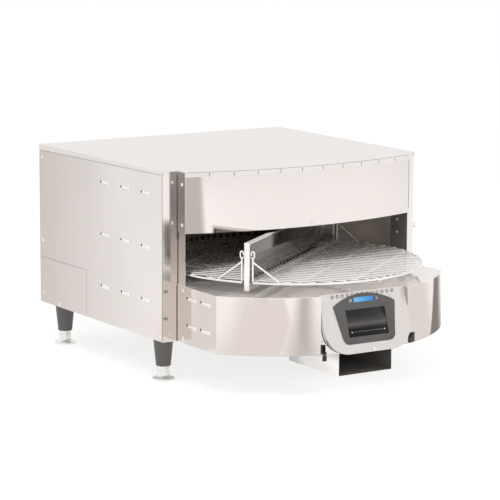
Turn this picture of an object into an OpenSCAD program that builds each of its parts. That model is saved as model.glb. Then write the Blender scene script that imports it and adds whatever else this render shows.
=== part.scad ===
// Countertop oven with a rotating wire table.
// A divider splits the round table in two: one half bakes in the chamber while the other is loaded in front.

/* [Cabinet] */
// Width across the side panels
body_w = 758; // [730:1:800]
// Depth from the pillar faces to the back
body_d = 640; // [625:1:700]
// Height of the cabinet without its legs
body_h = 423; // [410:1:470]
// Thickness of the sheet metal
sheet_t = 1.2; // [0.8:0.1:1.6]
// Visible width of each front corner pillar
pillar_w = 43; // [36:0.5:48]
// Depth of a pillar's inner return
pillar_return = 30; // [20:1:34]
// Height of the cover's side rim at the back
rim_back = 15; // [12:0.5:20]
// Height of the cover's side rim at the front
rim_front = 8; // [6:0.5:11]
// Visible gap between neighbouring sheets
seam = 0.8; // [0.4:0.1:1.2]
// Clearance of pieces that sit in a hole or a pocket
fit_gap = 0.3; // [0.2:0.05:0.5]

/* [Opening and fascia] */
// Height of the deck above the cabinet's underside
deck_z = 142; // [130:1:155]
// Height of the opening from the deck to the fascia
opening_h = 130; // [120:1:138]
// How far the fascia's ends stand in front of the pillars
fascia_end = 36; // [28:1:44]
// How far the fascia bows out past its ends
fascia_bow = 56; // [40:1:70]
// Depth of the fascia's bottom flange
fascia_lip = 14; // [8:1:20]
// Height of the cover's front tabs
tab_h = 12; // [8:0.5:16]
// Distance between the slits of the front tabs
tab_pitch = 62; // [50:1:66]
// Thickness of the jamb plates
jamb_t = 1.5; // [1:0.1:2]

/* [Table] */
// Gap between the turning divider and the jambs
swing_gap = 2.5; // [1.5:0.1:4]
// Angle of the divider at rest, from across the oven
divider_angle = 37.3; // [0:0.1:60]
// Diameter of the grate's frame rods
frame_rod_d = 6; // [5:0.5:8]
// Diameter of the grate's wires
wire_d = 3.2; // [2.5:0.1:4]
// Distance between the grate's wires
wire_pitch = 23; // [18:0.5:30]
// Height of the frame rods' centre above the deck
grate_rise = 28; // [26:0.5:34]
// Thickness of the divider sheet
divider_t = 2; // [1.2:0.1:3]
// Width of the divider's posts and top rail
post_w = 13; // [10:0.5:18]
// Gap between the divider's top and the fascia
divider_top_gap = 5; // [3:0.5:10]
// Diameter of the table's drive shaft
shaft_d = 20; // [14:1:24]

/* [Front bay] */
// Length of the bay's flat side walls
bay_wall_d = 182; // [160:1:200]
// How far the bay's front bows out past its side walls
bay_bow = 159; // [140:1:175]
// How far the bay's side walls stand outside the pillars' inner edges
bay_overlap = 2; // [1.5:0.5:8]
// Width of the intake duct
duct_w = 158; // [120:1:180]
// Height of the intake duct below the bay
duct_h = 58; // [40:1:70]
// Length of the intake duct
duct_d = 216; // [190:1:224]

/* [Controls] */
// Width of the control housing
housing_w = 255; // [235:1:266]
// Radius of the housing's lower corners
housing_r = 62; // [40:1:80]
// How far the foot of the housing's face stands in front of the bay
housing_reach = 11.5; // [8:0.5:16]
// How far the housing's face leans back from upright
housing_tilt = 17.6; // [15:0.1:19]
// Wall thickness of the housing
housing_t = 3; // [2:0.5:4]
// Width of the touch screen
screen_w = 116; // [100:1:124]
// Height of the touch screen
screen_h = 66; // [56:1:70]
// Diameter of the vent holes along the housing's top
vent_d = 6; // [4:0.5:8]

/* [Louvres] */
// Length of a louvre from its nose to the end of its relief hole
louvre_l = 48; // [46:1:60]
// Length of the raised bridge behind the nose
louvre_bridge = 30; // [24:1:34]
// Outer radius of the bridge
louvre_r = 4.5; // [4:0.5:6]

/* [Legs] */
// Height of the legs with the feet screwed in
leg_h = 109; // [95:1:125]
// Distance of the legs from the side panels
leg_inset = 42; // [36:1:60]
// Distance of the front legs from the pillar faces
leg_front = 68; // [60:1:120]
// Distance of the rear legs from the back
leg_back = 58; // [40:1:90]
// Diameter of the sleeve at its top
sleeve_top_d = 51; // [46:1:56]
// Diameter of the sleeve at its bottom
sleeve_low_d = 37; // [35.5:0.5:42]
// Diameter of the adjustable stem
stem_d = 31; // [28:0.5:31]
// Diameter of the foot
foot_d = 58; // [50:1:66]

/* [Hidden] */
$fn = 64;
run_gap = 0.05;
rest_gap = 0.1;
half_w = body_w / 2;
pillar_x = half_w - pillar_w;
jamb_out = pillar_x - 0.5;
jamb_in = jamb_out - jamb_t;
swing_r = jamb_in - swing_gap;
post_t = 6;
post_in = swing_r - post_t;
post_out = sqrt(swing_r * swing_r - post_w * post_w / 4);
rim_r = swing_r - 1.5 - frame_rod_d / 2;
opening_top = deck_z + opening_h;

fascia_half = pillar_x + sheet_t;
fascia_r = (fascia_half * fascia_half + fascia_bow * fascia_bow) / (2 * fascia_bow);
fascia_cy = fascia_r - fascia_end - fascia_bow;
tab_gap = 0.2;
cover_r = fascia_r + tab_gap + sheet_t;

bay_half = pillar_x + bay_overlap;
bay_r = (bay_half * bay_half + bay_bow * bay_bow) / (2 * bay_bow);
bay_cy = bay_r - bay_wall_d - bay_bow;
bay_front = bay_wall_d + bay_bow;

chamber_y0 = pillar_return + 6;
chamber_r = sqrt(pillar_x * pillar_x + chamber_y0 * chamber_y0);
plenum_r = chamber_r - 8;
plenum_h = 58;
jet_r = 6;
jet_pitch = 46;
jet_edge = 28;
upper_z = opening_top + sheet_t;
plenum_top = upper_z + sheet_t + plenum_h;
plenum_low = deck_z - sheet_t - plenum_h;

blower_y = chamber_r + sheet_t + 2;
blower_d = 80;
bulkhead_y = blower_y + blower_d;
blower_half = 280;
wheel_x = 150;
wheel_z = deck_z + opening_h / 2;
wheel_r = 70;
suction_r = 6;
suction_pitch = 20;
suction_rows = [wheel_z - suction_pitch, wheel_z, wheel_z + suction_pitch];
wheel_w = 44;
wheel_y = blower_y + 18;
motor_shaft_d = 12;
motor_r = 60;
motor_l = 130;
heater_r = 84;
heater_tube_r = 4;
heater_leg_r = 3.5;
heater_leg = 30;
heater_leg_z = -sqrt(heater_r * heater_r - heater_leg * heater_leg);

electrics_gap = 18;
electrics_y = bulkhead_y + sheet_t + electrics_gap;
supply_size = [150, 130, 60];
supply_inset = 70;
fin_size = [3, 122, 14];
fin_edge = 6;
fin_end = (supply_size[1] - fin_size[1]) / 2;
fin_pitch = 14.4;
contactor_size = [52, 70, 62];
contactor_top = [44, 46, 12];
contactor_edge = [4, 12, contactor_size[2]];
contactor_pitch = 62;
terminal_size = [90, 34, 18];
terminal_back = 120;
lug_size = [11, 22, 10];
lug_edge = [2, 6, terminal_size[2]];
lug_pitch = 15;
slot_half = 55;
slot_h = 5;
slot_low = 150;
slot_pitch = 13;

housing_face_low = bay_front + housing_reach;
housing_face_top = housing_face_low - deck_z * tan(housing_tilt);
housing_depth = 34;
housing_back = -housing_face_top + housing_depth;
housing_corner = housing_w / 2 - housing_r;
vent_v = -7;
vent_pitch = 14.7;
oven_y = (housing_face_low - body_d) / 2;

screen_v = -76;
screen_t = 9;
screen_lift = 0.4;
board_t = 1.6;
board_half_w = 55;
board_half_h = 34;
chip_half = 9;
chip_pitch = 36;
chip_t = 4.4;
display_v = -20;
display_w = 58;
display_h = 12;
display_t = 0.6;
bezel_t = 2.4;
panel_recess = 1.2;
bezel_half = 91;
bezel_foot = 77;
bezel_low_v = -126;
bezel_corner = 18;
bezel_side_v = -31;
bezel_top_v = -5;
bezel_arch = bezel_top_v - bezel_side_v;
bezel_arch_r = (bezel_half * bezel_half + bezel_arch * bezel_arch) / (2 * bezel_arch);

screw_r = 4;
screw_head = 2;
shank_r = 1.9;
shank_l = 6;
jamb_shank_l = jamb_t + fit_gap;
access_d = 253;
access_h = 122;
access_screws = [[body_d - 106, 8], [body_d - 20, 25]];
spacer_spot = [10.6, 228.6];
side_screws = [
  [12.9, 13.8], [10.6, body_h - 23], [body_d - 16, access_h + 45], [body_d - 16, body_h - 33]
];
fascia_screw_y = -22.5;
fascia_screw_z = [opening_top + 20, body_h - 31];
fascia_front_z = opening_top + 9;
jamb_screw_y = 8;
jamb_screw_z = [deck_z + 73, deck_z + 107];
rear_screw_x = [-half_w + 14, -half_w / 3, half_w / 3, half_w - 14];
rear_screw_z = [10, body_h - rim_back - 12];
bay_screw_y = -28;
bay_screw_z = [12, deck_z - 10];
lip_screw_x = 8;
lip_screw_z = 5.5;
lip_screw_v = (lip_screw_z - deck_z) / cos(housing_tilt);

pan_h = 18;
relief_r = 3;
relief_z = 1.5;
louvre_y = [81, 183, 286];
louvre_low = 94;
louvre_top = body_h - 62;
louvre_z = [louvre_low, (louvre_low + louvre_top) / 2, louvre_top];
bay_louvre_y = [-69, -133];
bay_louvre_z = [46, 114];

usb_inset = 3.5;
usb_x = usb_inset - housing_w / 2;
usb_z = 16;
usb_w = 10;
usb_h = 17;
usb_proud = 4.8868;
usb_front = sqrt(bay_r * bay_r - usb_x * usb_x) - bay_cy + usb_proud;
usb_body = 18;
usb_slot_w = 5.4;
usb_slot_h = 12.4;
cap_pivot_z = usb_z - usb_h / 2 - 3;
cap_pivot_y = -usb_front - 3.2;
cap_pin_r = 1.2;
cap_ear_x = 4;
cap_half = cap_ear_x - 1 - fit_gap;
cap_drop = cap_pivot_z - usb_z;

switch_angle = asin(145 / bay_r);
switch_z = 13;
switch_w = 21;
switch_h = 24;
switch_open_w = 15;
switch_open_h = 20.8;
switch_lip = 2.6;
rocker_w = 14;
rocker_h = 18.6;
rocker_tilt = 9;
rocker_pin_r = 1.5;
rocker_pivot = 0.6;

fan_y = -215;
fan_size = 92;
fan_h = 25;
fan_bore = 44;
fan_hub_r = 18;
fan_pin_r = 2;
fan_plate = 3;
rotor_low = 4;
rotor_top = 22;
fan_pin_top = 18;
blade_t = 2;
blade_h = 14;

gearbox_h = 58;
gearbox_half = 40;
gear_motor_r = 30;
gear_motor_l = 95;
stand_t = 3;
stand_half = 70;
stand_front = 40;
stand_back = 25;
gear_stand = deck_z - 82;
hub_r = 45;
hub_z = deck_z + 8;
arm_z = deck_z + 21;
grate_z = deck_z + grate_rise;
arm_t = grate_z - frame_rod_d / 2 - rest_gap - arm_z;
arm_top = arm_z + arm_t;
arm_low = deck_z + 7.5;
arm_half = 7;
bearing_r = 40;
bearing_neck_r = 30;
bearing_t = 5;
bearing_neck = 20;
wire_z = grate_z + frame_rod_d / 2 + wire_d / 2 - 0.3;
divider_top = opening_top - divider_top_gap;
rail_t = 5;
rim_gap_v = 16;
ear_v = 76;
ear_z = deck_z + 84;
ear_d = 4.4;
eye_r = 4;

stem_bore = leg_h - 35;
flange_t = 3;
flange_edge = 4;
sleeve_head = 8;
stem_top = 12;
foot_rim = 5;
foot_cone = 5;
leg_spots = [
  [-half_w + leg_inset, leg_front],
  [half_w - leg_inset, leg_front],
  [-half_w + leg_inset, body_d - leg_back],
  [half_w - leg_inset, body_d - leg_back]
];

inlet_inset = 119;
inlet_x = half_w - inlet_inset;
inlet_z = 62;
inlet_r = 8;
inlet_neck = 14;
inlet_flange = 5;
inlet_nut = 7;
spacer_r = 7;
spacer_l = 12;

// Places and shared shapes

module oven() {
  translate([0, oven_y, leg_h]) children();
}

module box(x0, x1, y0, y1, z0, z1) {
  translate([x0, y0, z0]) cube([x1 - x0, y1 - y0, z1 - z0]);
}

module post_z(r, z0, z1) {
  translate([0, 0, z0]) cylinder(r = r, h = z1 - z0);
}

module ring_z(r0, r1, z0, z1) {
  difference() {
    post_z(r1, z0, z1);
    post_z(r0, z0 - 1, z1 + 1);
  }
}

module rod(a, b, d) {
  v = b - a;
  l = norm(v);
  translate(a)
    rotate([0, acos(v[2] / l), atan2(v[1], v[0])])
      cylinder(d = d, h = l);
}

module along_y(r, y0, y1) {
  translate([0, y0, 0]) rotate([-90, 0, 0]) cylinder(r = r, h = y1 - y0);
}

module along_x(r, x0, x1) {
  translate([x0, 0, 0]) rotate([0, 90, 0]) cylinder(r = r, h = x1 - x0);
}

// A point on the bay's curved front, with -Y pointing out of it
module on_bay(angle, z) {
  translate([0, bay_cy, z]) rotate([0, 0, angle]) translate([0, -bay_r, 0]) children();
}

// The divider runs along X in the turned table
module on_table() {
  rotate([0, 0, divider_angle]) children();
}

// The tilted face of the housing: X across, Y up the face, Z out of it, zero at the top edge
module on_face() {
  translate([0, -housing_face_top, deck_z]) rotate([90 - housing_tilt, 0, 0]) children();
}

// Outside of the bay's plan, as a block
module bay_block(inset, z0, z1) {
  intersection() {
    translate([0, bay_cy, 0]) post_z(bay_r - inset, z0, z1);
    box(-bay_half + inset, bay_half - inset, -bay_front - 1, 0, z0, z1);
  }
}

// One louvre on a sheet whose outer face is x = 0, pointing to -X, with its nose towards -Y
module louvre_slot() {
  y0 = -louvre_l / 2 + louvre_r;
  box(-1, sheet_t + 1, y0, y0 + louvre_bridge, -louvre_r + sheet_t, louvre_r - sheet_t);
  translate([0, louvre_l / 2 - relief_r, relief_z]) along_x(relief_r, -1, sheet_t + 1);
}

module louvre_bridge() {
  y0 = -louvre_l / 2 + louvre_r;
  difference() {
    union() {
      along_y(louvre_r, y0, y0 + louvre_bridge);
      translate([0, y0, 0]) sphere(r = louvre_r);
    }
    along_y(louvre_r - sheet_t, y0, y0 + louvre_bridge + 1);
    box(sheet_t, louvre_r + 1, -louvre_l, louvre_l, -louvre_r - 1, louvre_r + 1);
  }
}

// A pan head screw whose head sits on z = 0, pointing up
module screw(length) {
  cylinder(r1 = screw_r, r2 = screw_r - 1, h = screw_head);
  translate([0, 0, -length]) cylinder(r = shank_r, h = length);
}

module screw_hole() {
  translate([0, 0, -shank_l - 1]) cylinder(r = shank_r + fit_gap, h = 2 * shank_l + 2);
}

// Places of the screws, each with Z pointing out of its sheet
module at_left(spots) {
  for (s = spots)
    translate([-half_w, s[0], s[1]]) rotate([0, -90, 0]) children();
}

module at_rear() {
  for (x = rear_screw_x, z = rear_screw_z)
    translate([x, body_d, z]) rotate([-90, 0, 0]) children();
}

module at_fascia() {
  for (s = [-1, 1], z = fascia_screw_z)
    translate([s * fascia_half, fascia_screw_y, z]) rotate([0, s * 90, 0]) children();
  translate([0, -fascia_end - fascia_bow, fascia_front_z]) rotate([90, 0, 0]) children();
}

module at_jambs() {
  for (s = [-1, 1], z = jamb_screw_z)
    translate([s * jamb_in, jamb_screw_y, z]) rotate([0, -s * 90, 0]) children();
}

module at_bay() {
  for (s = [-1, 1], z = bay_screw_z)
    translate([s * bay_half, bay_screw_y, z]) rotate([0, s * 90, 0]) children();
}

module at_lip() {
  on_face() translate([lip_screw_x, lip_screw_v, 0]) children();
}

// Cabinet

module base_pan() {
  color("silver") oven() {
    x1 = half_w - sheet_t - fit_gap;
    y0 = pillar_return + sheet_t + 1;
    y1 = body_d - sheet_t - fit_gap;
    difference() {
      box(-x1, x1, y0, y1, 0, pan_h);
      box(-x1 + sheet_t, x1 - sheet_t, y0 + sheet_t, y1 - sheet_t, sheet_t, pan_h + 1);
      at_left(access_screws) screw_hole();
      at_rear() screw_hole();
    }
  }
}

module side_panel(access) {
  difference() {
    union() {
      difference() {
        box(-half_w, -half_w + sheet_t, sheet_t, body_d - sheet_t, 0, body_h);
        rim_space(seam);
        for (y = louvre_y, z = louvre_z)
          translate([-half_w, y, z]) louvre_slot();
        if (access)
          box(-half_w - 1, -half_w + 2, body_d - access_d - seam, body_d, -1, access_h + seam);
      }
      for (y = louvre_y, z = louvre_z)
        translate([-half_w, y, z]) louvre_bridge();
    }
    at_left(side_screws) screw_hole();
    if (!access)
      at_left([spacer_spot]) screw_hole();
  }
}

// The left side rim of the cover, tapering from the back to the front
module side_rim() {
  translate([-half_w, 0, 0]) rotate([90, 0, 90]) linear_extrude(height = sheet_t)
    polygon([
      [0, body_h - rim_front], [body_d, body_h - rim_back], [body_d, body_h], [0, body_h]
    ]);
}

// The space that a neighbouring sheet leaves free for that rim
module rim_space(gap) {
  translate([-half_w - 1, 0, 0]) rotate([90, 0, 90]) linear_extrude(height = sheet_t + 2)
    polygon([
      [-1, body_h - rim_front - gap], [body_d, body_h - rim_back - gap],
      [body_d, body_h + 1], [-1, body_h + 1]
    ]);
}

module left_side_panel() {
  color("gainsboro") oven() side_panel(true);
}

module right_side_panel() {
  color("gainsboro") oven() mirror([1, 0, 0]) side_panel(false);
}

module pillar() {
  difference() {
    box(-half_w, -pillar_x, 0, sheet_t, 0, body_h - sheet_t);
    rim_space(rest_gap);
  }
  box(-pillar_x - sheet_t, -pillar_x, 0, pillar_return, 0, body_h - sheet_t);
}

module left_pillar() {
  color("gainsboro") oven() pillar();
}

module right_pillar() {
  color("gainsboro") oven() mirror([1, 0, 0]) pillar();
}

module rear_panel() {
  color("gainsboro") oven() difference() {
    box(-half_w, half_w, body_d - sheet_t, body_d, 0, body_h - rim_back - seam);
    for (x = [-1, 1], k = [0 : 9])
      translate([x * wheel_x, body_d, slot_low + k * slot_pitch])
        box(-slot_half, slot_half, -sheet_t - 1, 1, 0, slot_h);
    translate([inlet_x, body_d, inlet_z]) along_y(inlet_neck + fit_gap, -3, 1);
    at_rear() screw_hole();
  }
}

module top_cover() {
  color("whitesmoke") oven() {
    box(-half_w, half_w, 0, body_d, body_h - sheet_t, body_h);
    intersection() {
      translate([0, fascia_cy, 0]) post_z(cover_r, body_h - sheet_t, body_h);
      box(-fascia_half, fascia_half, -fascia_end - fascia_bow - 9, 0, body_h - sheet_t, body_h);
    }
    side_rim();
    mirror([1, 0, 0]) side_rim();
    box(-half_w, half_w, body_d - sheet_t, body_d, body_h - rim_back, body_h);
    difference() {
      intersection() {
        translate([0, fascia_cy, 0]) ring_z(cover_r - sheet_t, cover_r, body_h - tab_h, body_h);
        box(-fascia_half, fascia_half, -fascia_end - fascia_bow - 9, 0, body_h - tab_h, body_h);
      }
      for (k = [-5 : 4])
        box((k + 0.5) * tab_pitch - 0.8, (k + 0.5) * tab_pitch + 0.8,
          -fascia_end - fascia_bow - 9, 0, body_h - tab_h - 1, body_h - sheet_t - 1);
    }
  }
}

module access_cover() {
  color("gainsboro") oven() difference() {
    box(-half_w, -half_w + sheet_t, body_d - access_d, body_d - sheet_t, 0, access_h);
    at_left(access_screws) screw_hole();
  }
}

module panel_screws() {
  color("silver") oven() {
    at_left(concat(side_screws, access_screws)) screw(shank_l);
    mirror([1, 0, 0]) at_left(side_screws) screw(shank_l);
    at_rear() screw(shank_l);
    at_fascia() screw(shank_l);
    at_jambs() screw(jamb_shank_l);
    at_bay() screw(shank_l);
    at_lip() screw(shank_l);
  }
}

module side_spacer() {
  color("silver") oven() translate([half_w, spacer_spot[0], spacer_spot[1]]) {
    along_x(spacer_r, 0, spacer_l);
    along_x(shank_r, -shank_l, 0);
  }
}

// Fascia, jambs and chamber

module fascia() {
  color("gainsboro") oven() difference() {
    union() {
      intersection() {
        translate([0, fascia_cy, 0]) union() {
          ring_z(fascia_r - sheet_t, fascia_r, opening_top, body_h - sheet_t);
          ring_z(fascia_r - fascia_lip, fascia_r, opening_top, opening_top + sheet_t);
        }
        box(-fascia_half, fascia_half, -fascia_end - fascia_bow - 1, 0, 0, body_h);
      }
      for (s = [-1, 1])
        box(min(s * pillar_x, s * fascia_half), max(s * pillar_x, s * fascia_half),
          -fascia_end + fit_gap, 0, opening_top, body_h - sheet_t);
    }
    at_fascia() screw_hole();
  }
}

module soffit_panel() {
  color("dimgray") oven() intersection() {
    translate([0, fascia_cy, 0])
      post_z(fascia_r - sheet_t - fit_gap, opening_top + sheet_t, opening_top + 2 * sheet_t);
    box(-pillar_x + fit_gap, pillar_x - fit_gap, -fascia_end - fascia_bow, chamber_y0 - seam,
      opening_top + sheet_t, opening_top + 2 * sheet_t);
  }
}

module jamb() {
  difference() {
    box(-jamb_out, -jamb_in, -fascia_end + 1, chamber_y0 - seam, deck_z, opening_top - seam);
    at_jambs() screw_hole();
  }
}

module left_jamb() {
  color("silver") oven() jamb();
}

module right_jamb() {
  color("silver") oven() mirror([1, 0, 0]) jamb();
}

module rear_half(y0, z0, z1) {
  intersection() {
    children();
    box(-half_w, half_w, y0, body_d, z0, z1);
  }
}

module chamber_wall() {
  color("dimgray") oven() difference() {
    rear_half(chamber_y0, deck_z, upper_z)
      ring_z(chamber_r, chamber_r + sheet_t, deck_z, upper_z);
    for (k = [-6 : 6], z = suction_rows)
      translate([k * suction_pitch, 0, z]) along_y(suction_r, chamber_r - 2 * suction_pitch, body_d);
  }
}

// A half-round plate with rows of jet holes
module jet_plate(z0) {
  difference() {
    rear_half(chamber_y0, z0, z0 + sheet_t) post_z(chamber_r + sheet_t, z0, z0 + sheet_t);
    for (j = [0 : 5], k = [-6 : 6]) {
      p = [(k + (j % 2) / 2) * jet_pitch, chamber_y0 + jet_edge + j * jet_pitch];
      if (norm(p) < plenum_r - jet_edge)
        translate([p[0], p[1], z0 - 1]) cylinder(r = jet_r, h = sheet_t + 2);
    }
  }
}

module upper_jet_plate() {
  color("gray") oven() jet_plate(upper_z);
}

module lower_jet_plate() {
  color("gray") oven() jet_plate(deck_z - sheet_t);
}

// A half-round air box, open on its jet plate side, with an outlet towards the blowers
module plenum() {
  y0 = chamber_y0 + 6;
  difference() {
    rear_half(y0, 0, plenum_h) post_z(plenum_r, 0, plenum_h);
    rear_half(y0 + sheet_t, -1, plenum_h - sheet_t) post_z(plenum_r - sheet_t, -1, plenum_h - sheet_t);
    box(-blower_half + 60, blower_half - 60, chamber_r / 2, body_d, 8, plenum_h - 8);
  }
}

module upper_plenum() {
  color("silver") oven() translate([0, 0, upper_z + sheet_t]) plenum();
}

module lower_plenum() {
  color("silver") oven() translate([0, 0, deck_z - sheet_t]) mirror([0, 0, 1]) plenum();
}

module blower_box() {
  color("silver") oven() difference() {
    box(-blower_half, blower_half, blower_y, bulkhead_y, plenum_low, plenum_top);
    box(-blower_half + sheet_t, blower_half - sheet_t, blower_y - 1, bulkhead_y + 1,
      plenum_low + sheet_t, plenum_top - sheet_t);
  }
}

module motor_bulkhead() {
  color("silver") oven() difference() {
    box(-half_w + 8, half_w - 8, bulkhead_y, bulkhead_y + sheet_t, sheet_t, body_h - 20);
    for (x = [-wheel_x, wheel_x]) {
      translate([x, 0, wheel_z]) along_y(motor_shaft_d / 2 + 3, bulkhead_y - 1, bulkhead_y + 3);
      for (s = [-heater_leg, heater_leg])
        translate([x + s, 0, wheel_z + heater_leg_z])
          along_y(heater_leg_r + fit_gap, bulkhead_y - 1, bulkhead_y + 3);
    }
  }
}

module insulation() {
  color("ivory") oven() {
    box(-half_w + 40, half_w - 40, chamber_y0 + 6, bulkhead_y - 2, plenum_top, body_h - 30);
    for (s = [0, 1])
      mirror([s, 0, 0]) difference() {
        box(blower_half + 20, half_w - 6, chamber_y0 + 24, bulkhead_y - 2, sheet_t, plenum_top - 1);
        post_z(chamber_r + sheet_t + fit_gap, 0, body_h);
      }
  }
}

// Blowers, heaters and electrics

module blower_motor() {
  difference() {
    union() {
      along_y(motor_r + 14, 0, 6);
      along_y(motor_r, 6, motor_l);
      along_y(22, motor_l, motor_l + 8);
    }
    along_y(motor_shaft_d / 2 + run_gap, -1, 44);
    for (a = [0 : 30 : 330])
      rotate([0, a, 0]) box(motor_r - 3, motor_r + 2, 30, motor_l - 20, -3, 3);
  }
}

module blower_motors() {
  color("darkgray") oven() for (x = [-wheel_x, wheel_x])
    translate([x, bulkhead_y + sheet_t, wheel_z]) blower_motor();
}

module blower_wheel() {
  along_y(wheel_r, wheel_w - 2, wheel_w);
  difference() {
    along_y(wheel_r, 0, 2);
    along_y(wheel_r - 24, -1, 3);
  }
  along_y(14, 10, wheel_w);
  along_y(motor_shaft_d / 2, 6, bulkhead_y + sheet_t + 40 - wheel_y);
  for (a = [0 : 30 : 330])
    rotate([0, a, 0]) translate([wheel_r - 24, 0, 0]) rotate([0, 25, 0])
      box(0, 22, 0.5, wheel_w - 0.5, -1, 1);
}

module left_blower_wheel() {
  color("lightgray") oven() translate([-wheel_x, wheel_y, wheel_z]) blower_wheel();
}

module right_blower_wheel() {
  color("lightgray") oven() translate([wheel_x, wheel_y, wheel_z]) blower_wheel();
}

// A ring element round the wheel, with two legs through the bulkhead
module heater() {
  rotate([90, 0, 0]) rotate_extrude() translate([heater_r, 0]) circle(r = heater_tube_r);
  for (s = [-1, 1])
    translate([s * heater_leg, 0, heater_leg_z])
      along_y(heater_leg_r, 0, bulkhead_y - wheel_y - wheel_w / 2 + 14);
}

module heaters() {
  color("saddlebrown") oven() for (x = [-wheel_x, wheel_x])
    translate([x, wheel_y + wheel_w / 2, wheel_z]) heater();
}

module power_supply() {
  color("dimgray") oven() translate([-half_w + supply_inset, electrics_y, sheet_t]) {
    cube(supply_size);
    for (k = [0 : 9])
      translate([fin_edge + k * fin_pitch, fin_end, supply_size[2]]) cube(fin_size);
  }
}

module contactors() {
  color("dimgray") oven() for (k = [0, 1])
    translate([k * contactor_pitch, electrics_y, sheet_t]) {
      cube(contactor_size);
      translate(contactor_edge) cube(contactor_top);
    }
}

module terminal_block() {
  color("black") oven() translate([inlet_x - terminal_size[0] / 2, body_d - terminal_back, sheet_t]) {
    cube(terminal_size);
    for (k = [0 : 5])
      translate(lug_edge + [k * lug_pitch, 0, 0]) cube(lug_size);
  }
}

module cord_inlet() {
  color("black") oven() translate([inlet_x, body_d, inlet_z]) difference() {
    union() {
      along_y(inlet_neck + 7, 0, inlet_flange);
      along_y(inlet_neck, -20, 0);
      translate([0, -sheet_t, 0]) rotate([90, 0, 0])
        cylinder(r = inlet_neck + 6, h = inlet_nut, $fn = 6);
    }
    along_y(inlet_r, -21, inlet_flange + 1);
  }
}

// Front bay

// The skin folds back beside the housing, whose face leans in behind it
module skin_return() {
  x0 = housing_w / 2 + seam;
  intersection() {
    bay_block(0, housing_r, deck_z - sheet_t);
    box(x0, x0 + sheet_t, -bay_front, housing_back, housing_r, deck_z - sheet_t);
  }
}

module bay_skin() {
  color("gainsboro") oven() difference() {
    union() {
      difference() {
        bay_block(0, sheet_t, deck_z - sheet_t);
        bay_block(sheet_t, 0, deck_z);
        box(-bay_half - 1, bay_half + 1, -seam, 1, 0, deck_z);
        box(-bay_half + sheet_t, bay_half - sheet_t, -bay_wall_d, 1, 0, deck_z);
        for (s = [0, 1], y = bay_louvre_y, z = bay_louvre_z)
          mirror([s, 0, 0]) translate([-bay_half, y, z]) louvre_slot();
      }
      for (s = [0, 1], y = bay_louvre_y, z = bay_louvre_z)
        mirror([s, 0, 0]) translate([-bay_half, y, z]) louvre_bridge();
      for (s = [0, 1])
        mirror([s, 0, 0]) skin_return();
    }
    housing_space();
    at_bay() screw_hole();
    box(usb_x - usb_w / 2 - fit_gap, usb_x + usb_w / 2 + fit_gap, -bay_front, -bay_wall_d,
      usb_z - usb_h / 2 - fit_gap, usb_z + usb_h / 2 + fit_gap);
    on_bay(switch_angle, switch_z)
      box(-switch_w / 2 + 1.5 - fit_gap, switch_w / 2 - 1.5 + fit_gap, -9, 14,
        -switch_h / 2 + 1 - fit_gap, switch_h / 2 - 1 + fit_gap);
  }
}

module bay_deck() {
  color("gainsboro") oven() difference() {
    union() {
      bay_block(0, deck_z - sheet_t, deck_z);
      box(-jamb_out, jamb_out, -1, chamber_y0 - seam, deck_z - sheet_t, deck_z);
    }
    box(-housing_w / 2 - seam, housing_w / 2 + seam, -bay_front - 1, -housing_face_top + seam, 0, deck_z + 1);
    post_z(bearing_neck_r + fit_gap, 0, deck_z + 1);
  }
}

module bay_floor() {
  color("silver") oven() difference() {
    union() {
      bay_block(0, 0, sheet_t);
      box(-jamb_out, jamb_out, -1, pillar_return + sheet_t, 0, sheet_t);
    }
    housing_space();
    translate([0, fan_y, 0]) post_z(fan_bore, -1, sheet_t + 1);
  }
}

module intake_duct() {
  color("silver") oven() translate([0, 0, -duct_h]) {
    y0 = -bay_front + 15;
    y1 = y0 + duct_d;
    difference() {
      box(-duct_w / 2, duct_w / 2, y0, y1, 0, duct_h);
      box(-duct_w / 2 + sheet_t, duct_w / 2 - sheet_t, y0 - 1, y1 - sheet_t, sheet_t, duct_h + 1);
    }
    box(-duct_w / 2, duct_w / 2, y0, y0 + 24, duct_h - sheet_t, duct_h);
    box(-duct_w / 2, duct_w / 2, y1 - 30, y1, duct_h - sheet_t, duct_h);
  }
}

module fan_frame() {
  color("black") oven() translate([0, fan_y, sheet_t]) {
    difference() {
      box(-fan_size / 2, fan_size / 2, -fan_size / 2, fan_size / 2, 0, fan_h);
      post_z(fan_bore, -1, fan_h + 1);
      for (x = [-1, 1], y = [-1, 1])
        translate([x * (fan_size / 2 - 5), y * (fan_size / 2 - 5), 0]) post_z(2.2, -1, fan_h + 1);
    }
    post_z(fan_hub_r, 0, fan_plate);
    for (a = [0 : 120 : 240])
      rotate([0, 0, a]) box(fan_hub_r - 2, fan_bore + 1, -2, 2, 0, fan_plate);
    post_z(fan_pin_r, fan_plate, fan_pin_top);
  }
}

module fan_rotor() {
  color("dimgray") oven() translate([0, fan_y, sheet_t]) difference() {
    union() {
      post_z(fan_hub_r, rotor_low, rotor_top);
      for (a = [0 : 51.43 : 359])
        rotate([0, 0, a]) rotate([35, 0, 0]) box(fan_hub_r - 2, fan_bore - 4, 6, 6 + blade_t, 0, blade_h);
    }
    post_z(fan_pin_r + run_gap, fan_plate, fan_pin_top + 1);
  }
}

module drive_gearmotor() {
  color("dimgray") oven() difference() {
    union() {
      box(-gearbox_half, gearbox_half, -gearbox_half, gearbox_half, gear_stand, gear_stand + gearbox_h);
      translate([0, -gearbox_half, gear_stand + gear_motor_r]) along_y(gear_motor_r, -gear_motor_l, 0);
    }
    post_z(shaft_d / 2 + run_gap, gear_stand + 4, deck_z);
  }
}

module gearmotor_stand() {
  color("silver") oven() {
    box(-stand_half, stand_half, -stand_front, stand_back, gear_stand - stand_t, gear_stand);
    for (x = [-stand_half, stand_half - stand_t])
      box(x, x + stand_t, -stand_front, stand_back, sheet_t, gear_stand - stand_t);
  }
}

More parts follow.
